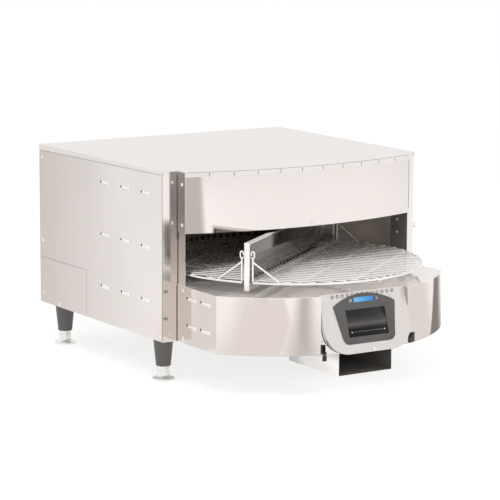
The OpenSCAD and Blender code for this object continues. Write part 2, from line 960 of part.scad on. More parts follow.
module table_bearing() {
  color("silver") oven() difference() {
    union() {
      post_z(bearing_r, deck_z, deck_z + bearing_t);
      post_z(bearing_neck_r, deck_z - bearing_neck, deck_z);
    }
    post_z(shaft_d / 2 + run_gap, 0, deck_z + bearing_t + 1);
  }
}

// Turning table

module table_hub() {
  color("silver") oven() {
    post_z(shaft_d / 2, gear_stand + 6, hub_z);
    post_z(hub_r, hub_z, arm_z);
  }
}

module table_spider() {
  color("silver") oven() on_table() {
    for (a = [60, 120])
      rotate([0, 0, a]) box(-rim_r, rim_r, -arm_half, arm_half, arm_z, arm_top);
    box(-post_in + fit_gap, post_in - fit_gap, -4, 4, arm_z, arm_top);
    for (s = [0, 1])
      mirror([s, 0, 0]) box(hub_r + 6, post_in - fit_gap, -4, 4, arm_low, arm_top);
  }
}

// Half a round grate on the -Y side of the divider: a frame rod, cross rods and a row of wires
module grate() {
  a0 = asin(rim_gap_v / rim_r);
  translate([0, 0, grate_z]) rotate([0, 0, 180 + a0])
    rotate_extrude(angle = 180 - 2 * a0, $fn = 128)
      translate([rim_r, 0]) circle(d = frame_rod_d);
  for (v = [rim_gap_v, 0.36 * rim_r, 0.7 * rim_r]) {
    u = sqrt(rim_r * rim_r - v * v);
    rod([-u, -v, grate_z], [u, -v, grate_z], frame_rod_d);
  }
  n = floor(rim_r / wire_pitch);
  for (k = [-n : n - 1]) {
    u = (k + 0.5) * wire_pitch;
    rod([u, -4, wire_z], [u, -sqrt(rim_r * rim_r - u * u) - 1, wire_z], wire_d);
  }
}

module front_grate() {
  color("gainsboro") oven() on_table() grate();
}

module rear_grate() {
  color("gainsboro") oven() on_table() rotate([0, 0, 180]) grate();
}

// A wire brace on the frame rod's end: an upright with an eye, and a strut down to the rim
module grate_ear() {
  top = [sqrt(rim_r * rim_r - rim_gap_v * rim_gap_v), -rim_gap_v, ear_z];
  seat = grate_z + frame_rod_d / 2 + fit_gap;
  foot = [top[0], top[1], seat];
  toe = [sqrt(rim_r * rim_r - ear_v * ear_v) - 2, -ear_v, seat + ear_d / 2];
  rod(foot, top, ear_d);
  rod(toe, top - [0, 0, 8], ear_d);
  translate(top + [0, 0, eye_r + 1]) rotate([0, 90, 0])
    rotate_extrude() translate([eye_r, 0]) circle(d = ear_d);
}

module grate_ears() {
  color("gainsboro") oven() on_table() for (s = [0, 1], m = [0, 1])
    mirror([s, 0, 0]) mirror([0, m, 0]) grate_ear();
}

module divider_panel() {
  color("gray") oven() on_table() {
    box(-post_in, post_in, -divider_t / 2, divider_t / 2, arm_top, divider_top - rail_t);
    box(-post_in, post_in, -post_w / 2, post_w / 2, divider_top - rail_t, divider_top);
  }
}

module divider_posts() {
  color("gainsboro") oven() on_table() for (s = [0, 1])
    mirror([s, 0, 0]) box(post_in, post_out, -post_w / 2, post_w / 2, arm_low, divider_top);
}

// Controls

// The housing's front outline, grown on all sides and run back to a depth
module housing_block(grow, y1, z1) {
  half = housing_w / 2 + grow;
  y0 = -housing_face_low - 20;
  box(-half, half, y0, y1, housing_r, z1);
  box(-housing_corner, housing_corner, y0, y1, -grow, housing_r + 1);
  for (s = [-1, 1])
    translate([s * housing_corner, 0, housing_r]) along_y(housing_r + grow, y0, y1);
}

// The space that the bay's sheets leave free for the housing
module housing_space() {
  housing_block(seam, housing_back + seam, deck_z);
}

// The part of space behind the tilted face, set back by an inset
module behind_face(inset) {
  on_face() box(-body_w / 2, body_w / 2, -body_h, body_h, -body_d / 2 - inset, -inset);
}

module housing_core(inset) {
  intersection() {
    housing_block(-inset, housing_back + inset, deck_z - sheet_t - inset);
    behind_face(inset);
  }
}

// The touch screen's outline on the face, grown by a gap
module screen_block(gap, z0, z1) {
  translate([0, screen_v, 0])
    box(-screen_w / 2 - gap, screen_w / 2 + gap, -screen_h / 2 - gap, screen_h / 2 + gap, z0, z1);
}

module control_housing() {
  color("lightgray") oven() difference() {
    housing_core(0);
    housing_core(housing_t);
    on_face() {
      bezel_outline(fit_gap, -panel_recess, 1);
      screen_block(4, -screen_t, 1);
      for (k = [-6 : 6])
        translate([k * vent_pitch, vent_v, -9]) cylinder(d = vent_d, h = 12);
    }
    at_lip() screw_hole();
  }
}

// The bezel's outline on the face: an arched top, sloping sides and round lower corners
module bezel_outline(gap, z0, z1) {
  translate([0, 0, z0]) linear_extrude(height = z1 - z0)
    polygon([
      [-bezel_half - gap, bezel_side_v], [-bezel_half + 2, bezel_side_v + 1],
      [bezel_half - 2, bezel_side_v + 1], [bezel_half + gap, bezel_side_v],
      [bezel_foot + gap, bezel_low_v + bezel_corner],
      [bezel_foot - bezel_corner, bezel_low_v - gap], [-bezel_foot + bezel_corner, bezel_low_v - gap],
      [-bezel_foot - gap, bezel_low_v + bezel_corner]
    ]);
  for (s = [-1, 1])
    translate([s * (bezel_foot - bezel_corner), bezel_low_v + bezel_corner, 0])
      post_z(bezel_corner + gap, z0, z1);
  intersection() {
    translate([0, bezel_top_v - bezel_arch_r, 0]) post_z(bezel_arch_r + gap, z0, z1);
    box(-bezel_half + 2, bezel_half - 2, bezel_side_v - 5, bezel_top_v + 9, z0, z1);
  }
}

module control_bezel() {
  color("dimgray") oven() on_face() difference() {
    bezel_outline(0, -panel_recess, bezel_t - panel_recess);
    screen_block(fit_gap, -screen_t, screen_t);
  }
}

module touch_screen() {
  color("black") oven() on_face() screen_block(0, -screen_t, screen_lift);
}

module status_display() {
  color("steelblue") oven() on_face() translate([0, display_v, bezel_t - panel_recess])
    box(-display_w / 2, display_w / 2, -display_h / 2, display_h / 2, 0, display_t);
}

module control_board() {
  color("darkgreen") oven() on_face() {
    box(-board_half_w, board_half_w, screen_v - board_half_h, screen_v + board_half_h,
      -screen_t - board_t, -screen_t);
    for (x = [-chip_pitch, 0, chip_pitch])
      box(x - chip_half, x + chip_half, screen_v - chip_half, screen_v + chip_half,
        -screen_t - board_t - chip_t, -screen_t - board_t);
  }
}

module usb_port() {
  color("black") oven() {
    difference() {
      box(usb_x - usb_w / 2, usb_x + usb_w / 2, -usb_front, -usb_front + usb_body,
        usb_z - usb_h / 2, usb_z + usb_h / 2);
      box(usb_x - usb_slot_w / 2, usb_x + usb_slot_w / 2, -usb_front - 1, -usb_front + 11,
        usb_z - usb_slot_h / 2, usb_z + usb_slot_h / 2);
    }
    for (s = [-1, 1])
      translate([usb_x + s * cap_ear_x, 0, 0])
        box(-1, 1, cap_pivot_y - 2, -usb_front + 2, cap_pivot_z - 2, usb_z - usb_h / 2);
    translate([usb_x, cap_pivot_y, cap_pivot_z]) along_x(cap_pin_r, -cap_ear_x, cap_ear_x);
  }
}

module usb_cap() {
  color("black") oven() translate([usb_x, cap_pivot_y, cap_pivot_z]) difference() {
    union() {
      along_x(cap_pin_r + 1, -cap_half, cap_half);
      box(-cap_half, cap_half, -1, 1, cap_drop + 5, 0);
      box(-usb_w / 2, usb_w / 2, -2.6, 2.6, cap_drop - usb_h / 2 + 2, cap_drop + usb_h / 2 - 2);
    }
    along_x(cap_pin_r + run_gap, -9, 9);
  }
}

module switch_frame() {
  color("black") oven() on_bay(switch_angle, switch_z) difference() {
    union() {
      box(-switch_w / 2, switch_w / 2, -switch_lip, -0.2, -switch_h / 2, switch_h / 2);
      box(-switch_w / 2 + 1.5, switch_w / 2 - 1.5, -0.2, 12, -switch_h / 2 + 1, switch_h / 2 - 1);
    }
    box(-switch_open_w / 2, switch_open_w / 2, -9, 10, -switch_open_h / 2, switch_open_h / 2);
    translate([0, rocker_pivot, 0]) along_x(rocker_pin_r + run_gap, -9, 9);
  }
}

module power_rocker() {
  color("black") oven() on_bay(switch_angle, switch_z)
    translate([0, rocker_pivot, 0]) rotate([rocker_tilt, 0, 0]) {
      translate([-rocker_w / 2, 0, 0]) rotate([90, 0, 90]) linear_extrude(height = rocker_w)
        polygon([
          [2.4, -rocker_h / 2], [-4.6, -rocker_h / 2], [-3.2, 0], [-4.6, rocker_h / 2], [2.4, rocker_h / 2]
        ]);
      along_x(rocker_pin_r, -switch_open_w / 2 - 1.2, switch_open_w / 2 + 1.2);
    }
}

// Legs

module leg_sleeve() {
  difference() {
    union() {
      translate([0, 0, -flange_t]) cylinder(d = sleeve_top_d + 2 * flange_edge, h = flange_t);
      translate([0, 0, -stem_bore]) cylinder(d1 = sleeve_low_d, d2 = sleeve_top_d, h = stem_bore - flange_t);
    }
    translate([0, 0, -stem_bore - 1]) cylinder(d = stem_d + 2 * run_gap, h = stem_bore + 1 - sleeve_head);
  }
}

module leg_sleeves() {
  color("dimgray") oven() for (p = leg_spots)
    translate([p[0], p[1], 0]) leg_sleeve();
}

module foot(k) {
  p = leg_spots[k];
  color("silver") oven() translate([p[0], p[1], -leg_h]) {
    cylinder(d = foot_d, h = foot_rim);
    translate([0, 0, foot_rim]) cylinder(d1 = foot_d, d2 = stem_d, h = foot_cone);
    cylinder(d = stem_d, h = leg_h - stem_top);
  }
}

module front_left_foot() {
  foot(0);
}

module front_right_foot() {
  foot(1);
}

module rear_left_foot() {
  foot(2);
}

module rear_right_foot() {
  foot(3);
}

base_pan();
left_side_panel();
right_side_panel();
left_pillar();
right_pillar();
rear_panel();
top_cover();
access_cover();
fascia();
soffit_panel();
left_jamb();
right_jamb();
chamber_wall();
upper_jet_plate();
lower_jet_plate();
upper_plenum();
lower_plenum();
blower_box();
motor_bulkhead();
insulation();
blower_motors();
left_blower_wheel();
right_blower_wheel();
heaters();
power_supply();
contactors();
terminal_block();
cord_inlet();
side_spacer();
panel_screws();
bay_skin();
bay_deck();
bay_floor();
intake_duct();
fan_frame();
fan_rotor();
drive_gearmotor();
gearmotor_stand();
table_bearing();
table_hub();
table_spider();
front_grate();
rear_grate();
grate_ears();
divider_panel();
divider_posts();
control_housing();
control_bezel();
touch_screen();
status_display();
control_board();
usb_port();
usb_cap();
switch_frame();
power_rocker();
leg_sleeves();
front_left_foot();
front_right_foot();
rear_left_foot();
rear_right_foot();
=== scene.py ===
"""Looks of a countertop oven with a rotating wire table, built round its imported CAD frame."""

import math
from contextlib import contextmanager

import bmesh
import bpy
from bpy.props import FloatProperty, FloatVectorProperty, IntProperty, PointerProperty
from mathutils import Matrix, Vector


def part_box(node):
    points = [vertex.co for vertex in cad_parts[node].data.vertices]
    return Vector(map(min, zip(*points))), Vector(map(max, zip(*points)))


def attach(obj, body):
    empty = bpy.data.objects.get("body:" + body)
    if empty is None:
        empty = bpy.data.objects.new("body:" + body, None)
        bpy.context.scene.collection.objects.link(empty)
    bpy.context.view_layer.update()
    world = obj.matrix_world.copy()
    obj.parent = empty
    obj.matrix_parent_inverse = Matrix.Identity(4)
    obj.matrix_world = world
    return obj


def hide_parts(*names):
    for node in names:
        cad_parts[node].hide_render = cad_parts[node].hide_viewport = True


bl_info = {
    "name": "Rotating Table Oven",
    "version": (1, 0, 0),
    "blender": (4, 5, 0),
    "location": "3D View > Sidebar > Oven",
    "description": "Dresses the CAD frame of a rotating table oven",
    "category": "Object",
}

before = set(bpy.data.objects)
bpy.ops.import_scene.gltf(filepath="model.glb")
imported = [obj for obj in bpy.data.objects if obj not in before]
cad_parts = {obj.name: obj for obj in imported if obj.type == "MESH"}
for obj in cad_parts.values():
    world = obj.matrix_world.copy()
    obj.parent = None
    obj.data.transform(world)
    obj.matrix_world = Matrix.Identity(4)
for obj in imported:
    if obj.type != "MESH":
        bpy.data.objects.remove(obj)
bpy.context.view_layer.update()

MM = 0.001

# Frames of the cabinet, of the table with its divider, and of the leaning control face
CABINET = Matrix.Translation((0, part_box("left_pillar")[0][1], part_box("base_pan")[0][2]))
DIVIDER_ANGLE = math.radians(37.3)
TABLE = CABINET @ Matrix.Rotation(DIVIDER_ANGLE, 4, "Z")
FACE_LEAN = math.radians(17.6)
FACE_FOOT_Y, FACE_TOP_Z = -352.5, 142
FACE_TOP_Y = FACE_FOOT_Y + FACE_TOP_Z * math.tan(FACE_LEAN)
FACE = (CABINET @ Matrix.Translation((0, FACE_TOP_Y * MM, FACE_TOP_Z * MM))
        @ Matrix.Rotation(math.pi / 2 - FACE_LEAN, 4, "X"))


def spot(x, y, z):
    """A point in millimetres, in metres."""
    return Vector((x, y, z)) * MM


# Sizes and colours


def length(label, text, default):
    return FloatProperty(
        name=label, description=text, default=default, min=0, unit="LENGTH", precision=4)


def colour(label, text, default):
    return FloatVectorProperty(
        name=label, description=text, default=default, min=0, max=1, size=3, subtype="COLOR")


class OvenSizes(bpy.types.PropertyGroup):
    """Sizes of the small pieces that dress the frame."""

    sheet_edge: length("Sheet edge", "Rounding of the sheet metal's edges", 0.0004)
    housing_edge: length("Housing edge", "Rounding of the control housing's edges", 0.0016)
    wire_d: length("Wire", "Diameter of the grate's wires", 0.0036)
    rod_d: length("Frame rod", "Diameter of the grate's frame rods", 0.006)
    wire_pitch: length("Wire pitch", "Distance between the grate's wires", 0.023)
    rim_r: length("Rim radius", "Radius of the grate's rim rod", 0.327)
    wire_bend: FloatProperty(
        name="Wire bend", description="How far the wires' ends bend down over the rim",
        default=math.radians(70), unit="ROTATION")
    ear_d: length("Ear wire", "Diameter of the ear wires", 0.0044)
    rivet_d: length("Rivet", "Diameter of the divider's rivets", 0.0052)
    screw_d: length("Screw head", "Diameter of the panel screws' heads", 0.0088)
    vent_rim: length("Vent rim", "Outer diameter of the rings round the vent plugs", 0.0084)
    vents: IntProperty(name="Vents", description="Vents along the housing's top", default=13, min=1)
    vent_pitch: length("Vent pitch", "Distance between the vents", 0.0147)


class OvenColours(bpy.types.PropertyGroup):
    """Colours of the oven's finishes."""

    steel: colour("Satin steel", "Cabinet sheets", (0.765, 0.715, 0.685))
    cover: colour("Cover steel", "Top cover", (0.82, 0.775, 0.745))
    plate: colour("Inner steel", "Hidden sheets", (0.62, 0.61, 0.59))
    chamber: colour("Chamber", "Heat darkened sheets", (0.42, 0.395, 0.37))
    duct: colour("Duct", "Intake duct", (0.9, 0.872, 0.853))
    wire: colour("Wire", "Plated wire", (0.94, 0.91, 0.885))
    mirror: colour("Polished steel", "Divider's rail", (0.72, 0.69, 0.66))
    divider: colour("Divider", "Divider sheet", (0.2, 0.19, 0.18))
    # Shade painted inside the intake duct, and in a darker tone in the seam lines
    lining: colour("Duct lining", "Inside of the intake duct", (0.115, 0.106, 0.099))
    machined: colour("Machined steel", "Hub and bearing", (0.6, 0.59, 0.57))
    wool: colour("Wool", "Insulation", (0.82, 0.78, 0.66))
    motor: colour("Motor paint", "Motors and gearbox", (0.11, 0.115, 0.12))
    copper: colour("Element", "Heater sheath", (0.12, 0.085, 0.07))
    casing: colour("Casing", "Electrical cases", (0.05, 0.05, 0.053))
    black: colour("Black plastic", "Port, switch and inlet", (0.012, 0.012, 0.012))
    paint: colour("Housing paint", "Control housing", (0.69, 0.648, 0.617))
    bezel: colour("Bezel", "Control bezel", (0.085, 0.078, 0.077))
    glass: colour("Screen", "Touch screen", (0.006, 0.006, 0.007))
    # The screen band is a painted reflection, drawn as glow
    band: colour("Screen band", "Lit band on the touch screen", (0.11, 0.1, 0.095))
    blue: colour("Display", "Status display", (0.03, 0.16, 0.46))
    sky: colour("Display light", "Lit side of the status display", (0.13, 0.36, 0.62))
    marks: colour("Marks", "Drawn marks", (0.62, 0.6, 0.59))
    board: colour("Board", "Circuit board", (0.015, 0.09, 0.04))
    leg: colour("Legs", "Leg sleeves", (0.115, 0.105, 0.1))
    foot: colour("Feet", "Adjustable feet", (0.86, 0.84, 0.82))
    floor: colour("Floor", "Studio floor", (0.92, 0.92, 0.92))


def sizes():
    return bpy.context.scene.oven_sizes


def colours():
    return bpy.context.scene.oven_colours


# Modelling


FLAT_ANGLE = math.radians(0.6)
SHARP_ANGLE = math.radians(30)
SMOOTH_ANGLE = math.radians(35)


def alone(obj):
    """Leaves one object selected and active."""
    if bpy.context.object and bpy.context.object.mode != "OBJECT":
        bpy.ops.object.mode_set(mode="OBJECT")
    bpy.ops.object.select_all(action="DESELECT")
    obj.select_set(True)
    bpy.context.view_layer.objects.active = obj


def added(name):
    obj = bpy.context.object
    obj.name = obj.data.name = name
    return obj


@contextmanager
def editing(obj, mode="FACE"):
    """Edit mode on one object, with nothing selected in it."""
    alone(obj)
    bpy.ops.object.mode_set(mode="EDIT")
    bpy.ops.mesh.select_mode(type=mode)
    bpy.ops.mesh.select_all(action="DESELECT")
    yield
    bpy.ops.object.mode_set(mode="OBJECT")


def pick(obj, test):
    """Selects the vertices of the edited mesh that pass a test."""
    mesh = bmesh.from_edit_mesh(obj.data)
    for vert in mesh.verts:
        if test(vert):
            vert.select_set(True)
    bmesh.update_edit_mesh(obj.data)


def outward(obj):
    with editing(obj):
        bpy.ops.mesh.select_all(action="SELECT")
        bpy.ops.mesh.normals_make_consistent(inside=False)


def put(obj, place):
    """Puts a piece in place and leaves its place in its mesh."""
    alone(obj)
    obj.matrix_world = place
    bpy.ops.object.transform_apply(location=True, rotation=True, scale=True)
    return obj


def twin(obj, name, place):
    """A copy with its own mesh, moved by a matrix."""
    copy = bpy.data.objects.new(name, obj.data.copy())
    bpy.context.scene.collection.objects.link(copy)
    put(copy, place)
    if place.determinant() < 0:
        outward(copy)
    return copy


def joined(name, objs):
    alone(objs[0])
    for obj in objs[1:]:
        obj.select_set(True)
    if len(objs) > 1:
        bpy.ops.object.join()
    return added(name)


def modified(obj, kind, **settings):
    """Adds one modifier and applies it."""
    alone(obj)
    modifier = obj.modifiers.new(kind.title(), kind)
    for key, value in settings.items():
        setattr(modifier, key, value)
    bpy.ops.object.modifier_apply(modifier=modifier.name)
    return obj


def turned(name, profile, place=Matrix(), sides=32):
    """A lathe shape: a disc that is extruded and resized along its axis. Profile in millimetres."""
    (radius, height), rest = profile[0], profile[1:]
    bpy.ops.object.select_all(action="DESELECT")
    bpy.ops.mesh.primitive_circle_add(
        vertices=sides, radius=radius * MM, fill_type="NGON", location=(0, 0, height * MM))
    obj = added(name)
    put(obj, obj.matrix_world.copy())
    with editing(obj):
        bpy.ops.mesh.select_all(action="SELECT")
        for r, z in rest:
            rise = (0, 0, (z - height) * MM)
            bpy.ops.mesh.extrude_region_move(TRANSFORM_OT_translate={"value": rise})
            bpy.ops.transform.resize(
                value=(r / radius, r / radius, 1), center_override=(0, 0, z * MM))
            radius, height = r, z
    outward(obj)
    return put(obj, place)


def block(name, low, high, place=Matrix(), edge=0.0, segments=2):
    """A box between two corners in millimetres, with rounded edges."""
    bpy.ops.object.select_all(action="DESELECT")
    low, high = Vector(low), Vector(high)
    bpy.ops.mesh.primitive_cube_add(size=1, location=(low + high) / 2 * MM)
    obj = added(name)
    put(obj, Matrix.LocRotScale((low + high) / 2 * MM, None, (high - low) * MM))
    if edge:
        with editing(obj, "EDGE"):
            bpy.ops.mesh.select_all(action="SELECT")
            bpy.ops.mesh.bevel(offset=edge * MM, segments=segments, affect="EDGES")
    return put(obj, place)


def rod(name, start, end, d):
    """A round bar with broken ends, between two points in millimetres."""
    start, end = Vector(start), Vector(end)
    span = (end - start).length
    turn = (end - start).to_track_quat("Z", "Y").to_matrix().to_4x4()
    r, chamfer = d / 2, d / 10
    profile = [(r - chamfer, 0), (r, chamfer), (r, span - chamfer), (r - chamfer, span)]
    return turned(name, profile, Matrix.Translation(start * MM) @ turn, sides=12)


def bent(name, centre, axis, start, angle, d, steps, sides=10):
    """A round bar bent about an axis: a circle at the start that is spun. Places in millimetres."""
    centre, axis, start = Vector(centre), Vector(axis).normalized(), Vector(start)
    radial = (start - centre).normalized()
    normal = axis.cross(radial)
    bpy.ops.object.select_all(action="DESELECT")
    bpy.ops.mesh.primitive_circle_add(vertices=sides, radius=d / 2 * MM, fill_type="NOTHING")
    obj = added(name)
    turn = Matrix((radial, axis, normal)).transposed().to_4x4()
    put(obj, Matrix.Translation(start * MM) @ turn)
    with editing(obj, "EDGE"):
        bpy.ops.mesh.select_all(action="SELECT")
        bpy.ops.mesh.spin(steps=steps, angle=-angle, center=centre * MM, axis=axis)
        bpy.ops.mesh.select_all(action="SELECT")
        bpy.ops.mesh.fill_holes(sides=0)
    outward(obj)
    return obj


def sheet_copy(node, name, edge, segments=2):
    """A copy of a CAD node's mesh with its triangles joined up and its edges rounded."""
    obj = bpy.data.objects.new(name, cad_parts[node].data.copy())
    bpy.context.scene.collection.objects.link(obj)
    alone(obj)
    bpy.ops.mesh.customdata_custom_splitnormals_clear()
    with editing(obj, "VERT"):
        bpy.ops.mesh.select_all(action="SELECT")
        bpy.ops.mesh.remove_doubles(threshold=1e-6)
        bpy.ops.mesh.dissolve_limited(angle_limit=FLAT_ANGLE)
    return modified(
        obj, "BEVEL", width=edge, segments=segments, limit_method="ANGLE",
        angle_limit=SHARP_ANGLE, harden_normals=True, miter_outer="MITER_ARC")


def settled(obj, body, finish, *nodes, shown=None):
    """Gives a piece its body and its finish, the slot's own one or another that is shown in its
    place, and hides the CAD nodes that it stands for."""
    alone(obj)
    bpy.ops.object.shade_smooth_by_angle(angle=SMOOTH_ANGLE)
    obj.data.materials.clear()
    obj.data.materials.append(look(shown or finish))
    for face in obj.data.polygons:
        face.material_index = 0
    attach(obj, body)
    if nodes:
        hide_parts(*nodes)
    return obj


def dressed(node, name, edge, body, finish, segments=2):
    """A rounded copy that stands for its CAD node."""
    return settled(sheet_copy(node, name, edge, segments), body, finish, node)


def painted(finish, *nodes):
    """Gives CAD nodes that keep their shape a finish."""
    for node in nodes:
        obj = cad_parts[node]
        obj.data.materials.clear()
        obj.data.materials.append(look(finish))


# Finishes


class Finish:
    """The nodes of one procedural finish, on the piece's own coordinates."""

    def __init__(self, name, rough=0.4, metal=0.0):
        self.material = bpy.data.materials.new(name + "_finish")
        self.material.use_nodes = True
        self.nodes = self.material.node_tree.nodes
        self.links = self.material.node_tree.links
        self.shader = self.nodes["Principled BSDF"]
        self.place = self.nodes.new("ShaderNodeTexCoord").outputs["Object"]
        self.height = None
        self.set("Roughness", rough)
        self.set("Metallic", metal)

    def set(self, socket, value):
        self.shader.inputs[socket].default_value = value

    def node(self, kind, **settings):
        node = self.nodes.new(kind)
        for key, value in settings.items():
            setattr(node, key, value)
        return node

    def noise(self, scale, stretch=(1, 1, 1), detail=2.0):
        mapping = self.node("ShaderNodeMapping")
        mapping.inputs["Scale"].default_value = stretch
        texture = self.node("ShaderNodeTexNoise")
        texture.inputs["Scale"].default_value = scale
        texture.inputs["Detail"].default_value = detail
        self.links.new(self.place, mapping.inputs["Vector"])
        self.links.new(mapping.outputs["Vector"], texture.inputs["Vector"])
        return texture.outputs["Fac"]

    def spread(self, value, low, high, start=0.3, end=0.7):
        span = self.node("ShaderNodeMapRange")
        keys = ("From Min", "From Max", "To Min", "To Max")
        for key, number in zip(keys, (start, end, low, high)):
            span.inputs[key].default_value = number
        self.links.new(value, span.inputs["Value"])
        return span.outputs["Result"]

    def tint(self, value, dark, light, start=0.3, end=0.7):
        mix = self.node("ShaderNodeMix", data_type="RGBA")
        colour_in = [s for s in mix.inputs if s.type == "RGBA"]
        colour_in[0].default_value = (*dark, 1)
        colour_in[1].default_value = (*light, 1)
        self.links.new(self.spread(value, 0, 1, start, end), mix.inputs["Factor"])
        out = [s for s in mix.outputs if s.type == "RGBA"][0]
        self.links.new(out, self.shader.inputs["Base Color"])
        return out

    def painted_slope_highlight(self, under, rgb, start=0.1, end=0.45):
        """Paints a highlight: faces that slope away from the upright, up or down, get a brighter
        copy of the colour.
        """
        turn = self.node("ShaderNodeSeparateXYZ")
        geometry = self.node("ShaderNodeNewGeometry")
        self.links.new(geometry.outputs["True Normal"], turn.inputs[0])
        slope = self.node("ShaderNodeMath", operation="ABSOLUTE")
        self.links.new(turn.outputs["Z"], slope.inputs[0])
        over = self.tint(slope.outputs[0], rgb, rgb, start, end)
        self.links.new(under, [s for s in over.node.inputs if s.type == "RGBA"][0])

    def rough(self, value, low, high):
        self.links.new(self.spread(value, low, high), self.shader.inputs["Roughness"])

    def bump(self, value, distance, strength=1.0):
        bump = self.node("ShaderNodeBump")
        bump.inputs["Distance"].default_value = distance
        bump.inputs["Strength"].default_value = strength
        self.links.new(value, bump.inputs["Height"])
        if self.height:
            self.links.new(self.height, bump.inputs["Normal"])
        self.height = bump.outputs["Normal"]
        self.links.new(self.height, self.shader.inputs["Normal"])


def shade(rgb, k):
    return tuple(min(1, c * k) for c in rgb)


def satin(name, rgb, rough, grain=(1, 1, 30), wave=0.0004, wave_scale=5, top=1.0, metal=1.0):
    """Brushed sheet metal: fine grain, slow upright waves, faint clouding, and a highlight painted
    on sloping faces, top times the colour.
    """
    f = Finish(name, metal=metal)
    brush = f.noise(90, grain, 3)
    f.painted_slope_highlight(f.tint(f.noise(4, detail=3), shade(rgb, 0.985), shade(rgb, 1.012)), shade(rgb, top))
    f.rough(brush, rough * 0.85, rough * 1.15)
    f.bump(f.noise(wave_scale, (1, 1, 0.4), 1), wave)
    f.bump(brush, 0.00001, 0.6)
    return f.material


def plated(name, rgb, rough, metal=1.0):
    """Bright plating with a light haze."""
    f = Finish(name, metal=metal)
    f.tint(f.noise(35, detail=2), shade(rgb, 0.96), shade(rgb, 1.03))
    f.rough(f.noise(140, detail=2), rough * 0.7, rough * 1.4)
    f.bump(f.noise(90), 0.00002)
    return f.material


def moulded(name, rgb, rough, grain=900, depth=0.00004):
    """Moulded plastic or paint with a fine skin."""
    f = Finish(name)
    skin = f.noise(grain, detail=2)
    f.tint(f.noise(25, detail=3), shade(rgb, 0.92), shade(rgb, 1.08))
    f.rough(skin, rough * 0.85, rough * 1.15)
    f.bump(skin, depth)
    return f.material


def wavy_mirror(name, rgb, rough, wave, scale, stretch=(1, 1, 1), metal=1.0):
    """Polished sheet that bends its reflections."""
    f = Finish(name, metal=metal)
    f.tint(f.noise(7, detail=3), shade(rgb, 0.96), shade(rgb, 1.02))
    f.rough(f.noise(30, (1, 1, 12), 3), rough * 0.7, rough * 1.3)
    f.bump(f.noise(scale, stretch, 1), wave)
    return f.material


def wool(name, rgb):
    f = Finish(name, 0.95)
    fibre = f.noise(220, (1, 1, 3), 5)
    f.tint(fibre, shade(rgb, 0.7), rgb)
    f.bump(fibre, 0.0012)
    return f.material


def burnt(name, rgb, rough):
    """Heat darkened metal with straw and blue blotches."""
    f = Finish(name, metal=0.2)
    f.tint(f.noise(9, detail=5), shade(rgb, 0.75), (rgb[0] * 1.35, rgb[1] * 1.25, rgb[2] * 1.1))
    f.rough(f.noise(40, detail=4), rough * 0.8, rough * 1.2)
    f.bump(f.noise(12, detail=1), 0.0006)
    return f.material


def along(f, direction, origin, low, high):
    """How far a point lies along a direction, from 0 at low to 1 at high, in millimetres."""
    shift = f.node("ShaderNodeVectorMath", operation="SUBTRACT")
    shift.inputs[1].default_value = origin
    dot = f.node("ShaderNodeVectorMath", operation="DOT_PRODUCT")
    dot.inputs[1].default_value = direction
    f.links.new(f.place, shift.inputs[0])
    f.links.new(shift.outputs["Vector"], dot.inputs[0])
    return f.spread(dot.outputs["Value"], 0, 1, low * MM, high * MM)


def painted_reflection_screen(name, glass, band):
    """Dark glass with a reflection painted on it as glow: a soft band across its middle and a
    lighter top.
    """
    f = Finish(name, 0.2)
    f.set("Specular IOR Level", 0.12)
    foot, top = -109, -43
    up = FACE.to_3x3() @ Vector((0, 1, 0))
    height = along(f, up, FACE.translation, foot, top)
    # The ramp paints the reflection: the band across the middle and the lighter top, glowing
    # through the emission
    ramp = f.node("ShaderNodeValToRGB")
    stops = ramp.color_ramp.elements
    stops[0].position, stops[0].color = 0.30, (*glass, 1)
    stops[1].position, stops[1].color = 0.98, (*shade(glass, 3), 1)
    between = {
        0.36: shade(band, 0.45), 0.45: band, 0.58: shade(band, 0.5), 0.75: shade(glass, 4),
    }
    for place, tone in between.items():
        stops.new(place).color = (*tone, 1)
    f.links.new(height, ramp.inputs["Fac"])
    f.tint(f.noise(12), shade(glass, 0.8), shade(glass, 1.2))
    f.links.new(ramp.outputs["Color"], f.shader.inputs["Emission Color"])
    f.set("Emission Strength", 1.0)
    f.bump(f.noise(6, detail=1), 0.00008)
    return f.material


def lit_display(name, blue, sky):
    """A backlit display with a fine dot grid, lighter at one side."""
    f = Finish(name, 0.25)
    f.set("Specular IOR Level", 0.25)
    plain_side, bright_side = 26, -34
    across = FACE.to_3x3() @ Vector((1, 0.3, 0))
    side = along(f, across, FACE.translation, plain_side, bright_side)
    mix = f.tint(side, blue, sky, 0, 1)
    grid = f.node("ShaderNodeTexVoronoi", distance="CHEBYCHEV")
    grid.inputs["Scale"].default_value = 900
    f.links.new(f.place, grid.inputs["Vector"])
    f.links.new(mix, f.shader.inputs["Emission Color"])
    f.set("Emission Strength", 0.3)
    f.rough(grid.outputs["Distance"], 0.2, 0.3)
    return f.material


def drawn(name, rgb):
    f = Finish(name, 0.5)
    f.tint(f.noise(300), shade(rgb, 0.9), rgb)
    f.set("Emission Color", (*rgb, 1))
    f.set("Emission Strength", 0.35)
    return f.material


MADE = {}


